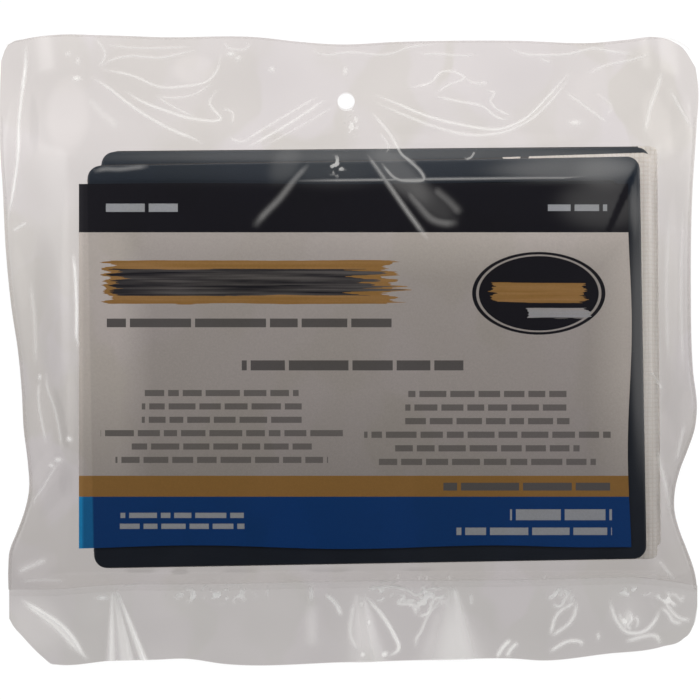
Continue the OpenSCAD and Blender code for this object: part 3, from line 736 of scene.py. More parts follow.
def punch_hole(piece, centre, radius):
    """Cuts a round hole by pulling the grid to the rim and deleting what is inside."""
    mesh = piece.data
    spots = points_of(piece)[:2].T / MM - np.array(centre)
    distance = np.linalg.norm(spots, axis=1)
    inside = distance < radius
    rim = set()
    for face in mesh.polygons:
        if any(inside[corner] for corner in face.vertices):
            rim.update(corner for corner in face.vertices if not inside[corner])
    for corner in rim:
        point = mesh.vertices[corner].co
        direction = spots[corner] / distance[corner]
        point.x = (centre[0] + direction[0] * radius) * MM
        point.y = (centre[1] + direction[1] * radius) * MM
    choose(piece)
    bpy.ops.object.mode_set(mode="EDIT")
    bpy.ops.mesh.select_all(action="DESELECT")
    bpy.ops.object.mode_set(mode="OBJECT")
    mesh.vertices.foreach_set("select", inside)
    bpy.ops.object.mode_set(mode="EDIT")
    bpy.ops.mesh.delete(type="VERT")
    bpy.ops.object.mode_set(mode="OBJECT")


def header_wave(x, y):
    """Soft waves of the two header walls together."""
    wave = np.zeros(len(x))
    for rise, middle, lean, reach in HEADER_FOLDS:
        wave += rise * np.exp(-(((x - middle - lean * (y - TOP_REST_Y)) / reach) ** 2))
    return wave * ease((y - FOLD_Y + WAVE_LEAD) / WAVE_SPAN)


def across_bag(u, y):
    """Where a share of the bag's width lies at a height."""
    return left_edge(y) + (right_edge(y) - left_edge(y)) * u


def wall_rows(u, v, stops):
    """Height up the bag of each point, drawn to the top edge in the header and to the seal below."""
    shares = [stop[0] for stop in stops]
    levels = [stop[1] for stop in stops]
    y = np.interp(v, shares, levels)
    top = smooth_line(TOP_EDGE, across_bag(u, HEADER_Y))
    header = np.clip((y - FOLD_Y) / (HIGH_Y - FOLD_Y), 0, 1)
    y = np.where(header > 0, FOLD_Y + (top - FOLD_Y) * header, y)
    low = np.clip((levels[1] - y) / (levels[1] - LOW_Y), 0, 1)
    return y + low * (seal_line(across_bag(u, LOW_Y)) - LOW_Y)


def bag_places(u, v, stops):
    """Where a grid's points lie in the bag's outline, in millimetres."""
    y = wall_rows(u, v, stops)
    return across_bag(u, y), y


def near_detail(x, y):
    """Whether a place on the front film is close to a crease, a bright spot, a pucker or the hole."""
    bands = [(1.0, width + FINE_BAND, points) for _, width, points in HEADER_CREASES + SIDE_CREASES]
    spots = [(*spot[:2], spot[2] + FINE_BAND, spot[3] + FINE_BAND, 1.0) for spot in WALL_GLINTS]
    marks = np.maximum(crease_field(x, y, bands), spot_field(x, y, spots))
    marks = np.maximum(marks, group_field(x, y, WALL_PUCKERS))
    rim = np.hypot(x - HOLE_CENTRE[0], y - HOLE_CENTRE[1]) < HOLE_RADIUS + 2 * FINE_BAND
    return (marks > FINE_LEVEL) | rim


def cut_finer(wall):
    """Subdivides the front film's flat grid where it will carry fine detail."""
    middles = np.empty(len(wall.data.polygons) * 3)
    wall.data.polygons.foreach_get("center", middles)
    u, v, _ = middles.reshape(-1, 3).T
    picked = near_detail(*bag_places(u, v, FRONT_ROWS))
    choose(wall)
    bpy.ops.object.mode_set(mode="EDIT")
    bpy.ops.mesh.select_mode(type="FACE")
    bpy.ops.mesh.select_all(action="DESELECT")
    bpy.ops.object.mode_set(mode="OBJECT")
    wall.data.polygons.foreach_set("select", picked)
    bpy.ops.object.mode_set(mode="EDIT")
    bpy.ops.mesh.subdivide(number_cuts=FINE_CUTS, ngon=False)
    bpy.ops.mesh.select_mode(type="VERT")
    bpy.ops.object.mode_set(mode="OBJECT")


def front_film():
    """The front wall: crowned over the card, falling to the welds, creased in the header."""
    wall = unit_grid("front_film")
    cut_finer(wall)
    u, v, _ = points_of(wall)
    x, y = bag_places(u, v, FRONT_ROWS)
    drop = pouch_drop(x, y, FRONT_FLAT)
    creases = crease_field(x, y, HEADER_CREASES + SIDE_CREASES)
    puckers = pucker_field(x, y, WALL_PUCKERS, "wall_flecks")
    spots = np.maximum(spot_field(x, y, WALL_GLINTS), WALL_PUCKER_GLINT * puckers)
    marks = np.maximum(creases, spots)
    # The white marks hold stress whitening along creases, painted glints on spots and puckers, and
    # painted sheen.
    white = np.maximum(marks, patch_field(x, y, WALL_SHEENS, SHEEN_EDGE))
    seam = SEAM_Z + WALL_GAP
    loose = drop * (1 - drop) * 4
    z = seam + (FRONT_Z + film_dome(x, y) - seam) * (1 - drop)
    z += header_wave(x, y) + CREASE_RISE * marks
    z += LOOSE_RISE * loose * (1 + noise_field(x, y, "slack"))
    place_points(wall, x, y, z)
    keep_marks(wall, white, patch_field(x, y, WALL_LIGHT_AND_SHADE, WALL_PATCH_EDGE))
    punch_hole(wall, HOLE_CENTRE, HOLE_RADIUS)
    smooth_shading(wall, SOFT_ANGLE)
    return wall


def back_film():
    """The back wall: flat under the contents and rising to the welds."""
    wall = unit_grid("back_film")
    u, v, _ = points_of(wall)
    x, y = bag_places(u, v, BACK_ROWS)
    drop = pouch_drop(x, y, BACK_FLAT)
    z = BACK_Z + (SEAM_Z - WALL_GAP - BACK_Z) * drop + header_wave(x, y)
    place_points(wall, x, y, z)
    keep_marks(wall, np.zeros(len(x)), BACK_TONE * noise_field(x, y, "back_wall"))
    punch_hole(wall, HOLE_CENTRE, HOLE_RADIUS)
    turn_over(wall)
    smooth_shading(wall, SOFT_ANGLE)
    return wall


def skirt_lip(name):
    """One loose lip of the bag's mouth below the seal; only the front one carries creases."""
    front = name == "front_lip"
    lip = unit_grid(name)
    u, v, _ = points_of(lip)
    x = SKIRT_LEFT + (SKIRT_RIGHT - SKIRT_LEFT) * u
    top = seal_line(x)
    y = top + (smooth_line(SKIRT_EDGE, x) - top) * (1 - v)
    share = np.clip((top - y) / SKIRT_DEPTH, 0, 1)
    z = SEAM_Z + LIP_WAVE * np.sin(x / LIP_WAVE_LENGTH + LIP_WAVE_START) * share
    if front:
        height, bands, shade_lines = band_field(x, y)
        puckers = pucker_field(x, y, SKIRT_PUCKERS, "lip_flecks")
        creases = crease_field(x, y, SKIRT_CREASES)
        flecks = np.maximum(puckers, spot_field(x, y, SKIRT_GLINTS))
        # White marks: stress whitening with painted highlights along creases and bands, and painted
        # glints in the flecks; tone holds painted light and shade.
        white = np.maximum(np.maximum(creases, bands), flecks)
        tone = patch_field(x, y, SKIRT_LIGHT_AND_SHADE, SKIRT_PATCH_EDGE) + shade_lines
        z = z + WALL_GAP + height + CREASE_RISE * np.maximum(creases, SKIRT_PUCKER_RISE * puckers)
    else:
        white = np.zeros(len(x))
        tone = BACK_TONE * noise_field(x, y, "back_lip")
        z = z - WALL_GAP - LIP_PART * share * (1 + tone)
    place_points(lip, x, y, z)
    keep_marks(lip, white, tone)
    if not front:
        turn_over(lip)
    smooth_shading(lip, SOFT_ANGLE)
    return lip


def heat_seal():
    """The welded band that closes the mouth, crimped along its length."""
    band = unit_grid("heat_seal")
    u, v, _ = points_of(band)
    x = SKIRT_LEFT + (SKIRT_RIGHT - SKIRT_LEFT) * u
    y = seal_line(x) + SEAL_LAP - SEAL_WIDTH * (1 - v)
    crest = np.sin(np.pi * v)
    crimps = CRIMP_RISE * np.sin(x * 2 * np.pi / CRIMP_PITCH) * crest
    z = SEAM_Z + 2 * WALL_GAP + SEAL_CREST * crest + crimps
    place_points(band, x, y, z)
    patchy = ease((noise_field(x, y, "pale_line_breaks") - PALE_LINE_LEVEL) / PALE_LINE_SPAN)
    pale_line = np.exp(-(((v - PALE_LINE_PLACE) / PALE_LINE_REACH) ** 2))
    keep_marks(band, (SEAL_WHITE + PALE_LINE_WHITE * patchy) * pale_line, np.zeros(len(x)))
    smooth_shading(band, SOFT_ANGLE)
    return band


def side_weld(name, edge, inward):
    """A narrow melted bead down one side of the bag."""
    bead = unit_grid(name)
    u, v, _ = points_of(bead)
    y = LOW_Y + (FOLD_Y - LOW_Y) * v
    across = (u - 0.5) * 2
    x = edge(y) + inward * (BEAD_HALF + BEAD_HALF * across * inward)
    z = SEAM_Z + WALL_GAP + BEAD_LIFT + BEAD_RISE * (1 - across * across)
    place_points(bead, x, y, z)
    keep_marks(bead, np.zeros(len(x)), np.zeros(len(x)))
    give_thickness(bead, BEAD_THICK)
    smooth_shading(bead, BEAD_ANGLE)
    return bead


def top_fold():
    """The rolled fold along the top of the header, where front and back film are one sheet."""
    fold = unit_grid("top_fold")
    u, v, _ = points_of(fold)
    x = FOLD_LEFT + (FOLD_RIGHT - FOLD_LEFT) * u
    turn = (v - 0.5) * np.pi
    edge = smooth_line(TOP_EDGE, x)
    y = edge - FOLD_REACH + FOLD_REACH * np.cos(turn)
    z = SEAM_Z + header_wave(x, y) + FOLD_HALF_HEIGHT * np.sin(turn)
    place_points(fold, x, y, z)
    keep_marks(fold, np.zeros(len(x)), np.zeros(len(x)))
    smooth_shading(fold, SOFT_ANGLE)
    return fold


def insert_card():
    """The printed card, gently bowed by the film."""
    card = unit_grid("printed_card")
    u, v, _ = points_of(card)
    x = (u - 0.5) * CARD_SIZE[0]
    y = (v - 0.5) * CARD_SIZE[1]
    bow = (CARD_BOW + CARD_LOW_BOW * (1 - v)) * np.sin(x / CARD_BOW_LENGTH + CARD_BOW_START)
    bow *= ease((1 - u) * CARD_BOW_END)
    lean = CARD_LEAN * np.sin(y / CARD_LEAN_LENGTH + CARD_LEAN_START) * u**3
    ripple_along, ripple_up = CARD_RIPPLE_LENGTHS
    z = CARD_Z + CARD_RIPPLE * np.sin(x / ripple_along) * np.sin(y / ripple_up) - CARD_RIPPLE
    place_points(card, CARD_CENTRE[0] + x + lean, CARD_CENTRE[1] + y + bow, z)
    give_thickness(card, CARD_THICK)
    smooth_shading(card, CARD_ANGLE)
    return card


def rounded_block(name, width, height, corners, thick, voxel):
    """A block with rounded corners, cut from an outline and remeshed finely enough to roughen."""
    clear_selection()
    bpy.ops.mesh.primitive_plane_add(size=1, location=(0, 0, 0))
    block = bpy.context.object
    block.name = name
    block.data.name = name
    block.scale = (width * MM, height * MM, 1)
    bpy.ops.object.transform_apply(location=True, rotation=True, scale=True)
    for side, corner in zip((-1, 1), corners):
        bpy.ops.object.mode_set(mode="EDIT")
        bpy.ops.mesh.select_all(action="DESELECT")
        bpy.ops.object.mode_set(mode="OBJECT")
        for point in block.data.vertices:
            point.select = point.co.x * side > 0
        bpy.ops.object.mode_set(mode="EDIT")
        bpy.ops.mesh.bevel(offset=corner * MM, segments=CORNER_SEGMENTS, affect="VERTICES")
    bpy.ops.mesh.select_all(action="SELECT")
    bpy.ops.mesh.extrude_region_move(TRANSFORM_OT_translate={"value": (0, 0, thick * MM)})
    bpy.ops.mesh.select_all(action="SELECT")
    bpy.ops.mesh.normals_make_consistent(inside=False)
    bpy.ops.object.mode_set(mode="OBJECT")
    apply_modifier(block, "REMESH", mode="VOXEL", voxel_size=voxel * MM)
    return block


def turned(pad, x, y):
    """Places of a pad's own points after its turn and shift in the stack."""
    (middle_x, middle_y), turn, _ = PADS[pad]
    cosine = math.cos(math.radians(turn))
    sine = math.sin(math.radians(turn))
    return middle_x + x * cosine - y * sine, middle_y + x * sine + y * cosine


def fabric_size(pad):
    """Width and height of a pad's fabric, and how far its middle sits from the plate's."""
    right = RIGHT_OVERHANG[pad]
    width = PLATE_SIZE[0] + right + LEFT_OVERHANG
    height = PLATE_SIZE[1] + LOWER_OVERHANG + UPPER_OVERHANG
    return width, height, (right - LEFT_OVERHANG) / 2, (UPPER_OVERHANG - LOWER_OVERHANG) / 2


def pile_layer(pad):
    """The soft nap under the woven backing, matted and uneven at its edges."""
    base = PADS[pad][2]
    width, height, shift_x, shift_y = fabric_size(pad)
    corners = (LEFT_CORNER, RIGHT_CORNER)
    layer = rounded_block(f"{pad}_pile", width, height, corners, PILE_THICK, PILE_VOXEL)
    x, y, z = points_of(layer) / MM
    inward = np.clip(1 - z / PILE_THICK, 0, 1) ** 2
    matted = noise_field(x, y, "matting") * MATTING_RISE + noise_field(x, y, "clumps") * CLUMP_RISE
    x = x * (1 - PILE_DRAW[0] * inward) + PILE_ROUGH * noise_field(y, z, "pile_ends") * (1 - inward)
    y = y * (1 - PILE_DRAW[1] * inward) + PILE_ROUGH * noise_field(x, z, "pile_sides") * (1 - inward)
    z = np.clip(z + matted * inward, 0, PILE_THICK)
    x, y = turned(pad, x + shift_x, y + shift_y)
    place_points(layer, x, y, base + z)
    smooth_shading(layer, FIBRE_ANGLE)
    return layer


def cloth_layer(pad):
    """The woven backing of the pile, its threads raised where it shows past the plate."""
    base = PADS[pad][2]
    width, height, shift_x, shift_y = fabric_size(pad)
    cloth = unit_grid(f"{pad}_cloth")
    u, v, _ = points_of(cloth)
    stops = np.array([0, CLOTH_BORDER, width - CLOTH_BORDER, width]) - width / 2
    x = np.interp(u, CLOTH_SHARES, stops)
    y = (v - 0.5) * height
    rounding = np.where(x < 0, LEFT_CORNER, RIGHT_CORNER)
    reach = np.clip(np.abs(y) - (height / 2 - rounding), 0, rounding)
    corner = rounding - np.sqrt(rounding**2 - reach**2)
    x = x * (1 - corner / (width / 2))
    frayed = FRAY * noise_field(y, y * 0, "fray") * (np.abs(x) > width / 2 - FRAY_BORDER)
    threads = np.abs(np.sin(x * np.pi / WEAVE_PITCH) * np.sin(y * np.pi / WEAVE_PITCH))
    z = base + PILE_THICK + CLOTH_THICK - THREAD_RISE + THREAD_RISE * np.sqrt(threads)
    # Towards its upper right corner the cloth was pulled past the plate.
    pull = CLOTH_PULL[pad] * np.interp(x, CLOTH_PULL_SPAN, (0, 1))
    pull *= np.interp(v, CLOTH_PULL_ROWS, (0, 1))
    x, y = turned(pad, x + frayed + shift_x, y + shift_y + pull)
    place_points(cloth, x, y, z)
    give_thickness(cloth, CLOTH_THICK / 2)
    smooth_shading(cloth, FIBRE_ANGLE)
    return cloth


def foam_layer(pad):
    """The foam block between plate and fabric, its cut sides drawn in a little."""
    bottom = PADS[pad][2] + PILE_THICK + CLOTH_THICK + GLUE
    width = PLATE_SIZE[0] - 2 * FOAM_INSET
    height = PLATE_SIZE[1] - 2 * FOAM_INSET
    corners = (FOAM_CORNER, FOAM_CORNER)
    block = rounded_block(f"{pad}_foam", width, height, corners, FOAM_THICK, FOAM_VOXEL)
    x, y, z = points_of(block) / MM
    waist = np.sin(np.pi * np.clip(z / FOAM_THICK, 0, 1))
    pores = PORE_DEPTH * noise_field(x + z, y - z, "pores")
    x = x * (1 - FOAM_WAIST[0] * waist) + pores * np.sign(x)
    y = y * (1 - FOAM_WAIST[1] * waist) + pores * np.sign(y)
    x, y = turned(pad, x, y)
    place_points(block, x, y, bottom + np.clip(z, 0, FOAM_THICK))
    smooth_shading(block, FIBRE_ANGLE)
    return block


def add_node(tree, kind, **settings):
    """A new node with its settings."""
    node = tree.nodes.new(kind)
    for setting, value in settings.items():
        setattr(node, setting, value)
    return node


def feed(tree, source, socket):
    """Links a socket, or sets its value where the source is a number or colour."""
    if isinstance(source, bpy.types.NodeSocket):
        tree.links.new(source, socket)
    else:
        socket.default_value = source


def calculate(tree, operation, first, second=0.0, clamp=False):
    """A math node on two sockets or numbers."""
    node = add_node(tree, "ShaderNodeMath", operation=operation, use_clamp=clamp)
    feed(tree, first, node.inputs[0])
    feed(tree, second, node.inputs[1])
    return node.outputs[0]


def between(tree, value, low, high):
    """1 where a value lies between two limits."""
    above = calculate(tree, "GREATER_THAN", value, low)
    below = calculate(tree, "LESS_THAN", value, high)
    return calculate(tree, "MULTIPLY", above, below)


def remap(tree, value, low, high, new_low, new_high):
    """A value taken from one range to another, held at the ends."""
    node = add_node(tree, "ShaderNodeMapRange")
    feed(tree, value, node.inputs["Value"])
    node.inputs["From Min"].default_value = low
    node.inputs["From Max"].default_value = high
    feed(tree, new_low, node.inputs["To Min"])
    feed(tree, new_high, node.inputs["To Max"])
    return node.outputs["Result"]


def mix_colours(tree, share, first, second, blend="MIX"):
    """Two colours mixed by a share."""
    node = add_node(tree, "ShaderNodeMix", data_type="RGBA", blend_type=blend)
    feed(tree, share, node.inputs[0])
    feed(tree, first, node.inputs[6])
    feed(tree, second, node.inputs[7])
    return node.outputs[2]


def grey(level):
    """An even grey."""
    return (level, level, level, 1.0)


def colour(red, green, blue):
    """An opaque colour."""
    return (red, green, blue, 1.0)


def new_group(name, inputs, outputs):
    """An empty shader group with its sockets."""
    tree = bpy.data.node_groups.new(name, "ShaderNodeTree")
    for label, kind, value in inputs:
        socket = tree.interface.new_socket(label, in_out="INPUT", socket_type=kind)
        socket.default_value = value
    for label, kind in outputs:
        tree.interface.new_socket(label, in_out="OUTPUT", socket_type=kind)
    return tree, add_node(tree, "NodeGroupInput").outputs, add_node(tree, "NodeGroupOutput").inputs


def use_group(tree, group, **values):
    """A group placed in a material with its own values."""
    node = add_node(tree, "ShaderNodeGroup", node_tree=group)
    for label, value in values.items():
        feed(tree, value, node.inputs[label.replace("_", " ")])
    return node.outputs


def object_place(tree):
    """A piece's own coordinates, whole and by axis."""
    place = add_node(tree, "ShaderNodeTexCoord").outputs["Object"]
    axes = add_node(tree, "ShaderNodeSeparateXYZ")
    feed(tree, place, axes.inputs[0])
    return place, axes.outputs


FLOAT = "NodeSocketFloat"
COLOUR = "NodeSocketColor"


def noise_texture(tree, place, scale, detail=2.0):
    """Soft noise at a place."""
    texture = add_node(tree, "ShaderNodeTexNoise")
    feed(tree, place, texture.inputs["Vector"])
    feed(tree, scale, texture.inputs["Scale"])
    texture.inputs["Detail"].default_value = detail
    return texture.outputs["Fac"]


def mottle_group():
    """Two scales of soft noise, for colour drift and a fine surface grain."""
    inputs = (("Broad", FLOAT, 60.0), ("Fine", FLOAT, 1500.0))
    tree, given, result = new_group("mottle", inputs, (("Drift", FLOAT), ("Grain", FLOAT)))
    place = add_node(tree, "ShaderNodeTexCoord").outputs["Object"]
    feed(tree, noise_texture(tree, place, given["Broad"], 3.0), result["Drift"])
    feed(tree, noise_texture(tree, place, given["Fine"]), result["Grain"])
    return tree


def film_tone_group():
    """The film's tint: it drifts between two greys facet by facet as painted light and shade, dims
    towards the mouth as painted shade, and follows its tone.
    """
    mouth_y = -0.060
    fold_y = 0.052
    fade_power = 1.85
    facet_bend = 0.004
    facet_stretch = 0.6
    inputs = (
        ("Cool", COLOUR, grey(0.9)), ("Warm", COLOUR, grey(0.9)), ("Low", FLOAT, 0.9),
        ("Tone", FLOAT, 0.0),
    )
    tree, given, result = new_group("film_tone", inputs, (("Tint", COLOUR), ("Crinkle", FLOAT)))
    place, axes = object_place(tree)
    bend = remap(tree, noise_texture(tree, place, 55.0, 2.0), 0.3, 0.7, -facet_bend, facet_bend)
    facet_place = add_node(tree, "ShaderNodeCombineXYZ")
    feed(tree, calculate(tree, "ADD", axes["X"], bend), facet_place.inputs["X"])
    feed(tree, calculate(tree, "MULTIPLY", axes["Y"], facet_stretch), facet_place.inputs["Y"])
    # Painted light and shade: each facet of the film takes its own grey between the two.
    facets = add_node(tree, "ShaderNodeTexVoronoi", feature="SMOOTH_F1")
    feed(tree, facet_place.outputs[0], facets.inputs["Vector"])
    facets.inputs["Scale"].default_value = 85.0
    facets.inputs["Smoothness"].default_value = 0.18
    channels = add_node(tree, "ShaderNodeSeparateColor")
    feed(tree, facets.outputs["Color"], channels.inputs[0])
    drift = mix_colours(tree, channels.outputs["Red"], given["Cool"], given["Warm"])
    # Painted shade: the tint darkens towards the mouth.
    height = remap(tree, axes["Y"], mouth_y, fold_y, 0.0, 1.0)
    rise = calculate(tree, "POWER", height, fade_power)
    fade = remap(tree, rise, 0.0, 1.0, given["Low"], 1.0)
    patch = remap(tree, given["Tone"], -1.5, 1.5, 0.87, 1.13)
    level = calculate(tree, "MULTIPLY", fade, patch)
    tint = mix_colours(tree, 1.0, drift, level, "MULTIPLY")
    feed(tree, tint, result["Tint"])
    feed(tree, noise_texture(tree, place, 240.0, 3.0), result["Crinkle"])
    return tree


def printed_lines_group():
    """Rows of plain bars broken at uneven lengths."""
    labels = ("Across", "Down", "Left", "Right", "Top", "Pitch", "Rows", "Bar", "Length", "Indent")
    inputs = [(label, FLOAT, 1.0) for label in labels]
    tree, given, result = new_group("printed_lines", inputs, (("Mask", FLOAT),))
    below = calculate(tree, "SUBTRACT", given["Down"], given["Top"])
    place = calculate(tree, "DIVIDE", below, given["Pitch"])
    row = calculate(tree, "FLOOR", place)
    in_rows = between(tree, place, 0.0, given["Rows"])
    in_bar = calculate(tree, "LESS_THAN", calculate(tree, "FRACT", place), given["Bar"])
    chance = add_node(tree, "ShaderNodeTexWhiteNoise", noise_dimensions="1D")
    feed(tree, calculate(tree, "ADD", row, 0.37), chance.inputs["W"])
    indent = calculate(tree, "MULTIPLY", chance.outputs["Value"], given["Indent"])
    left = calculate(tree, "ADD", given["Left"], indent)
    right = calculate(tree, "SUBTRACT", given["Right"], indent)
    in_width = between(tree, given["Across"], left, right)
    breaks = add_node(tree, "ShaderNodeTexVoronoi", voronoi_dimensions="1D", feature="DISTANCE_TO_EDGE")
    step = calculate(tree, "DIVIDE", given["Across"], given["Length"])
    row_shift = calculate(tree, "MULTIPLY", row, 17.3)
    feed(tree, calculate(tree, "ADD", step, row_shift), breaks.inputs["W"])
    breaks.inputs["Scale"].default_value = 1.0
    gap = calculate(tree, "DIVIDE", 0.45, given["Length"])
    unbroken = calculate(tree, "GREATER_THAN", breaks.outputs["Distance"], gap)
    mask = calculate(tree, "MULTIPLY", in_rows, in_bar)
    mask = calculate(tree, "MULTIPLY", mask, in_width)
    feed(tree, calculate(tree, "MULTIPLY", mask, unbroken), result["Mask"])
    return tree


def paint_stroke_group():
    """A swipe of paint with streaks along it and ragged ends."""
    labels = ("Across", "Down", "Left", "Right", "Top", "Bottom", "Ragged")
    inputs = [(label, FLOAT, 1.0) for label in labels]
    tree, given, result = new_group("paint_stroke", inputs, (("Mask", FLOAT), ("Streak", FLOAT)))
    place = add_node(tree, "ShaderNodeCombineXYZ")
    feed(tree, calculate(tree, "MULTIPLY", given["Across"], 0.035), place.inputs["X"])
    feed(tree, calculate(tree, "MULTIPLY", given["Down"], 1.3), place.inputs["Y"])
    streak = noise_texture(tree, place.outputs[0], 1.0, 3.0)
    offset = calculate(tree, "SUBTRACT", streak, 0.5)
    end = calculate(tree, "MULTIPLY", offset, given["Ragged"])
    edge = calculate(tree, "MULTIPLY", offset, 1.5)
    left = calculate(tree, "ADD", given["Left"], end)
    right = calculate(tree, "ADD", given["Right"], calculate(tree, "MULTIPLY", end, 1.8))
    top = calculate(tree, "ADD", given["Top"], edge)
    bottom = calculate(tree, "SUBTRACT", given["Bottom"], edge)
    in_width = between(tree, given["Across"], left, right)
    in_height = between(tree, given["Down"], top, bottom)
    feed(tree, calculate(tree, "MULTIPLY", in_width, in_height), result["Mask"])
    feed(tree, remap(tree, streak, 0.35, 0.65, 0.0, 1.0), result["Streak"])
    return tree


def oval_group():
    """How deep a place lies inside an oval, from 0 at its rim to 1 in its middle."""
    labels = ("Across", "Down", "Middle Across", "Middle Down", "Half Width", "Half Height")
    inputs = [(label, FLOAT, 1.0) for label in labels]
    tree, given, result = new_group("oval", inputs, (("Depth", FLOAT),))
    squares = []
    for label, half in (("Across", "Half Width"), ("Down", "Half Height")):
        away = calculate(tree, "SUBTRACT", given[label], given[f"Middle {label}"])
        share = calculate(tree, "DIVIDE", away, given[half])
        squares.append(calculate(tree, "MULTIPLY", share, share))
    reach = calculate(tree, "SQRT", calculate(tree, "ADD", squares[0], squares[1]))
    feed(tree, calculate(tree, "SUBTRACT", 1.0, reach), result["Depth"])
    return tree


MOTTLE = mottle_group()
FILM_TONE = film_tone_group()
PRINTED_LINES = printed_lines_group()
PAINT_STROKE = paint_stroke_group()
OVAL = oval_group()


def new_material(name):
    """A material, its tree and its Principled shader."""
    material = bpy.data.materials.new(name)
    material.use_nodes = True
    tree = material.node_tree
    return material, tree, tree.nodes["Principled BSDF"]


def add_bump(tree, shader, height, strength, distance):
    """Feeds a height to the shader's normal."""
    bump = add_node(tree, "ShaderNodeBump")
    bump.inputs["Strength"].default_value = strength
    bump.inputs["Distance"].default_value = distance
    feed(tree, height, bump.inputs["Height"])
    feed(tree, bump.outputs["Normal"], shader.inputs["Normal"])
    return bump.outputs["Normal"]


def film_material(name, cool, warm, low):
    """Clear film: mostly see-through and glossy, whitened by stress along creases and by painted
    highlights, glints and sheen.
    """
    haze = 0.02
    full_gloss = 0.35
    full_white = 0.85
    material, tree, shader = new_material(name)
    tone = add_node(tree, "ShaderNodeAttribute", attribute_name="tone").outputs["Fac"]
    white = add_node(tree, "ShaderNodeAttribute", attribute_name="white").outputs["Fac"]
    look = use_group(tree, FILM_TONE, Cool=cool, Warm=warm, Low=low, Tone=tone)
    normal = add_bump(tree, shader, look["Crinkle"], 0.08, 0.0004)
    shader.inputs["Base Color"].default_value = colour(0.93, 0.91, 0.885)
    shader.inputs["Roughness"].default_value = 0.30
    clear = add_node(tree, "ShaderNodeBsdfTransparent")
    feed(tree, look["Tint"], clear.inputs["Color"])
    slant = add_node(tree, "ShaderNodeLayerWeight")
    slant.inputs["Blend"].default_value = 0.5
    feed(tree, normal, slant.inputs["Normal"])
    grazing = calculate(tree, "POWER", slant.outputs["Facing"], 4.0)
    gloss = calculate(tree, "MULTIPLY", grazing, full_gloss)
    whitened = calculate(tree, "MULTIPLY", white, full_white)
    mirrored = calculate(tree, "ADD", gloss, haze)
    cover = calculate(tree, "ADD", mirrored, whitened, clamp=True)
    feed(tree, calculate(tree, "DIVIDE", mirrored, cover), shader.inputs["Metallic"])
    mix = add_node(tree, "ShaderNodeMixShader")
    feed(tree, cover, mix.inputs[0])
    feed(tree, clear.outputs[0], mix.inputs[1])
    feed(tree, shader.outputs[0], mix.inputs[2])
    feed(tree, mix.outputs[0], tree.nodes["Material Output"].inputs["Surface"])
    return material


def plate_material():
    """Black moulded plastic with a fine satin grain, dusty in places, with painted sheen near its upper
    edge.
    """
    material, tree, shader = new_material("black_satin_plastic")
    mottle = use_group(tree, MOTTLE, Broad=45.0, Fine=2600.0)
    dust = remap(tree, mottle["Drift"], 0.45, 0.75, 0.0, 0.5)
    shade = mix_colours(tree, dust, colour(0.013, 0.018, 0.028), colour(0.023, 0.030, 0.043))
    # Painted sheen: near its upper edge it is drawn lighter and bluer.
    _, axes = object_place(tree)
    upper = remap(tree, axes["Y"], 0.034, 0.044, 0.0, 0.6)
    shade = mix_colours(tree, upper, shade, colour(0.018, 0.034, 0.055))
    feed(tree, shade, shader.inputs["Base Color"])
    feed(tree, remap(tree, mottle["Drift"], 0.3, 0.7, 0.34, 0.48), shader.inputs["Roughness"])
    shader.inputs["Specular IOR Level"].default_value = 0.35
    add_bump(tree, shader, mottle["Grain"], 0.18, 0.0002)
    return material


def painted_board_light(tree, across, down):
    """Painted light and shade on the bare board: how much paler it is near its top and its sides, and
    how much darker low down.
    """
    top_gain = remap(tree, across, 50.0, 100.0, 0.24, 0.50)
    top_gain = calculate(tree, "MULTIPLY", top_gain, remap(tree, down, BLACK_END, 22.0, 1.0, 0.0))
    left_gain = remap(tree, across, 9.0, 19.0, 0.50, 0.0)
    right_gain = remap(tree, across, 117.0, 125.0, 0.10, 0.50)
    side_gain = calculate(tree, "MAXIMUM", left_gain, right_gain)
    side_gain = calculate(tree, "MULTIPLY", side_gain, remap(tree, down, 44.0, 67.0, 1.0, 0.6))
    gain = calculate(tree, "MAXIMUM", calculate(tree, "ADD", top_gain, 0.09), side_gain)
    return calculate(tree, "ADD", gain, remap(tree, down, 48.0, 67.0, 1.0, 0.84))


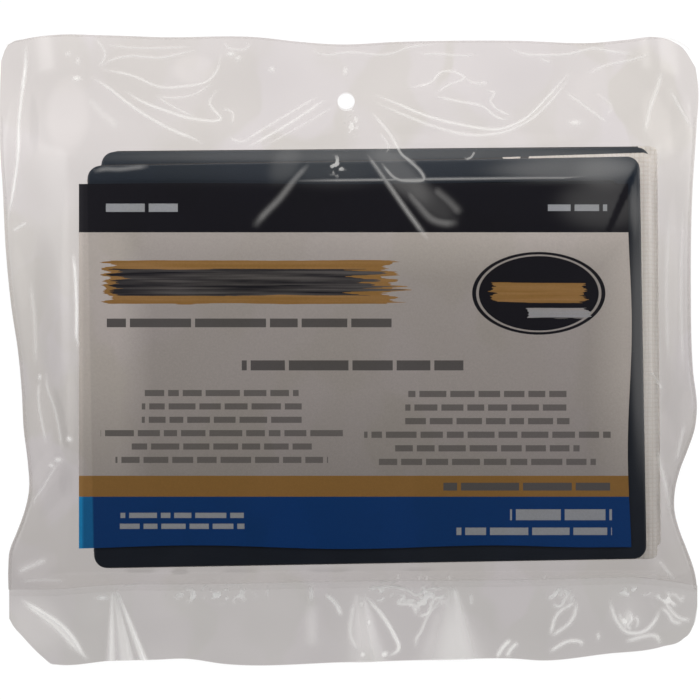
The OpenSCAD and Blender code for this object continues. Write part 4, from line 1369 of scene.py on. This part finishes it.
def card_material():
    """Coated board printed in four bands, with swipes of paint, a plain oval panel and plain bars."""
    material, tree, shader = new_material("printed_board")
    _, axes = object_place(tree)
    card_left = CARD_CENTRE[0] - CARD_SIZE[0] / 2
    card_top = CARD_CENTRE[1] + CARD_SIZE[1] / 2
    across = calculate(tree, "SUBTRACT", calculate(tree, "DIVIDE", axes["X"], MM), card_left)
    down = calculate(tree, "SUBTRACT", card_top, calculate(tree, "DIVIDE", axes["Y"], MM))
    black = colour(0.008, 0.008, 0.013)
    cream = colour(0.418, 0.395, 0.374)
    gold = colour(0.334, 0.182, 0.051)
    gold_light = colour(0.400, 0.230, 0.085)
    blue = colour(0.003, 0.049, 0.202)
    blue_light = colour(0.003, 0.250, 0.560)
    ink = colour(0.120, 0.115, 0.112)
    small_ink = colour(0.185, 0.175, 0.168)
    pale = colour(0.400, 0.430, 0.460)
    # Painted light and shade: the bare board is drawn paler near its top and sides and darker low down.
    painted_lit_board = mix_colours(tree, 1.0, cream, painted_board_light(tree, across, down), "MULTIPLY")
    shade = mix_colours(tree, calculate(tree, "GREATER_THAN", down, BLACK_END), black, painted_lit_board)
    shade = mix_colours(tree, calculate(tree, "GREATER_THAN", down, GOLD_START), shade, gold)
    in_blue = calculate(tree, "GREATER_THAN", down, BLUE_START)
    shade = mix_colours(tree, in_blue, shade, blue)
    panel = use_group(
        tree, OVAL, Across=across, Down=down, Middle_Across=105.6, Middle_Down=25.2, Half_Width=15.3,
        Half_Height=9.5,
    )["Depth"]
    shade = mix_colours(tree, calculate(tree, "GREATER_THAN", panel, 0.0), shade, black)
    shade = mix_colours(tree, between(tree, panel, 0.06, 0.10), shade, cream)
    # Each stroke: left, right, top, bottom, raggedness and its two paints.
    strokes = (
        (6.6, 72.0, 17.6, 27.6, 12.0, gold, gold_light),
        (9.5, 66.0, 19.6, 25.8, 22.0, black, ink),
        (95.0, 116.0, 22.8, 27.4, 6.0, gold, gold_light),
        (103.0, 117.0, 28.6, 30.8, 4.0, cream, pale),
    )
    for left, right, top, bottom, ragged, paint, light_paint in strokes:
        stroke = use_group(
            tree, PAINT_STROKE, Across=across, Down=down, Left=left, Right=right, Top=top, Bottom=bottom,
            Ragged=ragged,
        )
        streaked = mix_colours(tree, stroke["Streak"], paint, light_paint)
        shade = mix_colours(tree, stroke["Mask"], shade, streaked)
    # Each row: left, right, top, pitch, rows, bar share, bar length, indent, ink.
    rows = (
        (6.2, 22.7, 4.6, 1.9, 1.0, 1.0, 18.0, 0.0, pale),
        (107.7, 121.3, 4.8, 1.5, 1.0, 1.0, 7.0, 0.0, pale),
        (6.4, 71.8, 31.0, 2.0, 1.0, 1.0, 13.0, 0.0, ink),
        (37.4, 88.3, 40.6, 2.3, 1.0, 1.0, 10.0, 0.0, ink),
        (4.4, 61.2, 47.4, 3.07, 6.0, 0.46, 6.0, 11.0, small_ink),
        (64.9, 122.7, 47.6, 3.12, 6.0, 0.46, 6.0, 11.0, small_ink),
        (83.7, 122.0, 68.7, 1.8, 1.0, 1.0, 14.0, 0.0, ink),
        (7.1, 40.3, 75.6, 2.5, 2.0, 0.48, 5.5, 2.5, pale),
        (99.0, 122.4, 74.8, 2.5, 1.0, 1.0, 11.0, 0.0, pale),
        (86.7, 122.4, 79.0, 1.7, 1.0, 1.0, 8.0, 0.0, pale),
    )
    for start, end, first, pitch, count, bar, length, indent, tone in rows:
        lines = use_group(
            tree, PRINTED_LINES, Across=across, Down=down, Left=start, Right=end, Top=first,
            Pitch=pitch, Rows=count, Bar=bar, Length=length, Indent=indent,
        )
        shade = mix_colours(tree, lines["Mask"], shade, tone)
    # Painted light: where the board stands out past the plate's slanted left edge, it is drawn lighter,
    # as if light came through it.
    plate_slant = 0.0175
    plate_start = 1.95
    plate_edge = calculate(tree, "ADD", calculate(tree, "MULTIPLY", down, plate_slant), plate_start)
    past_plate = calculate(tree, "SUBTRACT", plate_edge, across)
    shine = remap(tree, past_plate, -0.15, 0.25, 0.0, 0.45)
    shine = calculate(tree, "ADD", shine, remap(tree, across, 0.6, 1.2, 0.55, 0.0))
    shade = mix_colours(tree, calculate(tree, "MULTIPLY", shine, in_blue), shade, blue_light)
    lit = mix_colours(tree, 1.0, shade, grey(1.3), "MULTIPLY")
    lit = mix_colours(tree, 1.0, lit, grey(0.014), "ADD")
    shade = mix_colours(tree, shine, shade, lit)
    mottle = use_group(tree, MOTTLE, Broad=30.0, Fine=2200.0)
    patchy = remap(tree, mottle["Grain"], 0.2, 0.8, 0.94, 1.06)
    feed(tree, mix_colours(tree, 1.0, shade, patchy, "MULTIPLY"), shader.inputs["Base Color"])
    feed(tree, remap(tree, mottle["Drift"], 0.3, 0.7, 0.40, 0.52), shader.inputs["Roughness"])
    shader.inputs["Specular IOR Level"].default_value = 0.25
    add_bump(tree, shader, mottle["Grain"], 0.05, 0.0002)
    return material


def cloth_material():
    """Undyed woven backing: a square grid of threads, with painted shade in the gaps and along the upper
    edge.
    """
    painted_shade_low = 0.0431
    painted_shade_high = 0.0455
    painted_shade_end = 0.0672
    material, tree, shader = new_material("woven_backing")
    place, axes = object_place(tree)
    waves = []
    for label in ("X", "Y"):
        turn = calculate(tree, "MULTIPLY", axes[label], math.pi / (WEAVE_PITCH * MM))
        waves.append(calculate(tree, "ABSOLUTE", calculate(tree, "SINE", turn)))
    weave = calculate(tree, "POWER", calculate(tree, "MULTIPLY", waves[0], waves[1]), 0.5)
    mottle = use_group(tree, MOTTLE, Broad=220.0, Fine=3500.0)
    lift = calculate(tree, "ADD", weave, calculate(tree, "MULTIPLY", mottle["Grain"], 0.5))
    # Painted shade: the gaps between threads are drawn darker than the threads.
    share = remap(tree, lift, 0.25, 1.0, 0.0, 1.0)
    shade = mix_colours(tree, share, colour(0.90, 0.84, 0.77), colour(0.99, 0.96, 0.92))
    # Painted shade: along the upper edge most of the cloth is drawn dark in broken stretches, more so
    # towards the left.
    lean = calculate(tree, "MULTIPLY", axes["X"], 0.0131)
    level = calculate(tree, "SUBTRACT", axes["Y"], lean)
    rightward = calculate(tree, "MULTIPLY", axes["X"], 4.0)
    unshaded = calculate(tree, "ADD", noise_texture(tree, place, 150.0), rightward)
    upper = between(tree, level, painted_shade_low, painted_shade_high)
    shaded_stretch = calculate(tree, "MULTIPLY", upper, calculate(tree, "LESS_THAN", unshaded, 0.62))
    topmost = calculate(tree, "GREATER_THAN", level, painted_shade_high)
    painted_shade = calculate(tree, "MAXIMUM", shaded_stretch, topmost)
    before_end = calculate(tree, "LESS_THAN", axes["X"], painted_shade_end)
    painted_shade = calculate(tree, "MULTIPLY", painted_shade, before_end)
    shade = mix_colours(tree, painted_shade, shade, colour(0.03, 0.03, 0.035))
    feed(tree, shade, shader.inputs["Base Color"])
    shader.inputs["Roughness"].default_value = 0.9
    shader.inputs["Sheen Weight"].default_value = 0.2
    add_bump(tree, shader, lift, 0.25, 0.0003)
    return material


def pile_material():
    """Off-white nap, its fibres clumped."""
    material, tree, shader = new_material("pile_nap")
    mottle = use_group(tree, MOTTLE, Broad=420.0, Fine=2600.0)
    clumps = calculate(tree, "MULTIPLY", mottle["Drift"], mottle["Grain"])
    share = remap(tree, clumps, 0.1, 0.4, 0.0, 1.0)
    shade = mix_colours(tree, share, colour(0.62, 0.60, 0.56), colour(0.86, 0.84, 0.80))
    feed(tree, shade, shader.inputs["Base Color"])
    shader.inputs["Roughness"].default_value = 0.95
    shader.inputs["Sheen Weight"].default_value = 0.4
    add_bump(tree, shader, mottle["Grain"], 0.8, 0.0006)
    return material


def foam_material():
    """Pale open-cell foam, with painted shade in its pores."""
    material, tree, shader = new_material("open_cell_foam")
    place = add_node(tree, "ShaderNodeTexCoord").outputs["Object"]
    cells = add_node(tree, "ShaderNodeTexVoronoi")
    feed(tree, place, cells.inputs["Vector"])
    cells.inputs["Scale"].default_value = 1400.0
    mottle = use_group(tree, MOTTLE, Broad=120.0, Fine=1800.0)
    # Painted shade: the pores are drawn dark.
    pores = remap(tree, cells.outputs["Distance"], 0.1, 0.5, 0.0, 1.0)
    shade = mix_colours(tree, pores, colour(0.40, 0.39, 0.37), colour(0.72, 0.71, 0.67))
    feed(tree, shade, shader.inputs["Base Color"])
    shader.inputs["Roughness"].default_value = 0.92
    height = calculate(tree, "ADD", pores, mottle["Drift"])
    add_bump(tree, shader, height, 0.6, 0.0004)
    return material


def finish_piece(piece, material, slot, *nodes):
    """Gives a piece its material and hides the nodes it stands for; its slot is not used."""
    piece.data.materials.clear()
    piece.data.materials.append(material)
    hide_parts(*nodes)


def add_camera():
    """The photograph's view."""
    camera = bpy.data.cameras.new("photo_camera")
    camera.lens = CAMERA_LENS
    camera.sensor_width = CAMERA_SENSOR
    holder = bpy.data.objects.new("photo_camera", camera)
    holder.location = CAMERA_PLACE
    bpy.context.collection.objects.link(holder)
    bpy.context.scene.camera = holder


def add_softbox(name, place, width, height, power, tint, mirrored):
    """A rectangular studio lamp aimed at the pack, seen in gloss or not."""
    lamp = bpy.data.lights.new(name, "AREA")
    lamp.shape = "RECTANGLE"
    lamp.size = width
    lamp.size_y = height
    lamp.energy = power
    lamp.color = tint
    holder = bpy.data.objects.new(name, lamp)
    holder.location = place
    holder.rotation_euler = (-Vector(place)).to_track_quat("-Z", "Y").to_euler()
    holder.visible_glossy = mirrored
    bpy.context.collection.objects.link(holder)


def add_lights():
    """A key from the top of the picture, lamps around it for the film's gloss, and a dim room."""
    warm = (1.0, 0.98, 0.95)
    cool = (0.96, 0.98, 1.0)
    add_softbox("key_lamp", (0.0, 0.42, 0.42), 0.50, 0.20, 1.8, warm, False)
    add_softbox("left_lamp", (-0.50, 0.10, 0.40), 0.12, 0.50, 1.50, cool, True)
    add_softbox("right_lamp", (0.50, 0.10, 0.40), 0.12, 0.50, 1.50, cool, True)
    add_softbox("low_lamp", (0.0, -0.50, 0.35), 0.50, 0.10, 1.3, cool, False)
    world = bpy.data.worlds.new("studio_room")
    bpy.context.scene.world = world
    world.use_nodes = True
    tree = world.node_tree
    axes = add_node(tree, "ShaderNodeSeparateXYZ")
    feed(tree, add_node(tree, "ShaderNodeTexCoord").outputs["Generated"], axes.inputs[0])
    level = remap(tree, axes.outputs["Z"], 0.10, 0.45, 0.90, 0.05)
    feed(tree, level, tree.nodes["Background"].inputs["Color"])


def add_floor():
    """A pale floor that shows white to the eye and still takes the pack's shadow."""
    clear_selection()
    bpy.ops.mesh.primitive_plane_add(size=12, location=(0, 0, -0.0003))
    floor = bpy.context.object
    floor.name = "pale_floor"
    material, tree, shader = new_material("pale_floor")
    shader.inputs["Base Color"].default_value = grey(0.95)
    shader.inputs["Roughness"].default_value = 0.9
    glow = add_node(tree, "ShaderNodeEmission")
    glow.inputs["Color"].default_value = grey(1.0)
    glow.inputs["Strength"].default_value = 1.04
    path = add_node(tree, "ShaderNodeLightPath").outputs
    seen = calculate(tree, "MAXIMUM", path["Is Camera Ray"], path["Is Glossy Ray"])
    seen = calculate(tree, "MAXIMUM", seen, path["Is Transmission Ray"])
    mix = add_node(tree, "ShaderNodeMixShader")
    feed(tree, calculate(tree, "MULTIPLY", seen, 0.92), mix.inputs[0])
    feed(tree, shader.outputs[0], mix.inputs[1])
    feed(tree, glow.outputs[0], mix.inputs[2])
    feed(tree, mix.outputs[0], tree.nodes["Material Output"].inputs["Surface"])
    floor.data.materials.append(material)


def build_bag():
    """The film walls, lips, seal, welds and top fold."""
    film = film_material("clear_film", colour(0.868, 0.842, 0.843), colour(0.838, 0.815, 0.796), 0.79)
    # The lips take a lighter copy of the wall film, painted light against the dimming at the mouth.
    lip_film = film_material("lip_film", colour(0.914, 0.889, 0.891), colour(0.888, 0.871, 0.857), 0.79)
    weld = film_material("welded_film", colour(0.985, 0.982, 0.980), colour(0.985, 0.982, 0.978), 0.99)
    front = front_film()
    finish_piece(front, film, "film", "bag_front_film", "header_front_film")
    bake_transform(front)
    back = back_film()
    finish_piece(back, film, "film", "bag_back_film", "header_back_film")
    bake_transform(back)
    for name in ("front_lip", "back_lip"):
        lip = skirt_lip(name)
        finish_piece(lip, lip_film, "film", f"skirt_{name}")
        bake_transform(lip)
    seal = heat_seal()
    finish_piece(seal, weld, "film", "bottom_heat_seal")
    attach(seal, "bag")
    for side, edge, inward in (("left", left_edge, 1), ("right", right_edge, -1)):
        bead = side_weld(f"{side}_side_bead", edge, inward)
        finish_piece(bead, weld, "film", f"{side}_side_weld")
        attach(bead, "bag")
    fold = top_fold()
    finish_piece(fold, weld, "film", "header_top_fold")
    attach(fold, "header_flap")


def build_contents():
    """The card, plates, foam and fabric."""
    card = insert_card()
    finish_piece(card, card_material(), "card", "insert_card")
    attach(card, "insert")
    plastic = plate_material()
    cloth_finish = cloth_material()
    pile_finish = pile_material()
    foam_finish = foam_material()
    for pad in PADS:
        body = f"{pad}_pad"
        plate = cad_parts[f"{pad}_pad_plate"]
        plate.data.materials.clear()
        plate.data.materials.append(plastic)
        cloth = cloth_layer(pad)
        pile = pile_layer(pad)
        foam = foam_layer(pad)
        finish_piece(cloth, cloth_finish, "pile", f"{pad}_pad_fabric")
        finish_piece(pile, pile_finish, "pile", f"{pad}_pad_fabric")
        finish_piece(foam, foam_finish, "foam", f"{pad}_pad_foam")
        for piece in (cloth, pile, foam):
            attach(piece, body)


bpy.context.scene.view_settings.view_transform = "Standard"
add_camera()
build_bag()
build_contents()
add_lights()
add_floor()
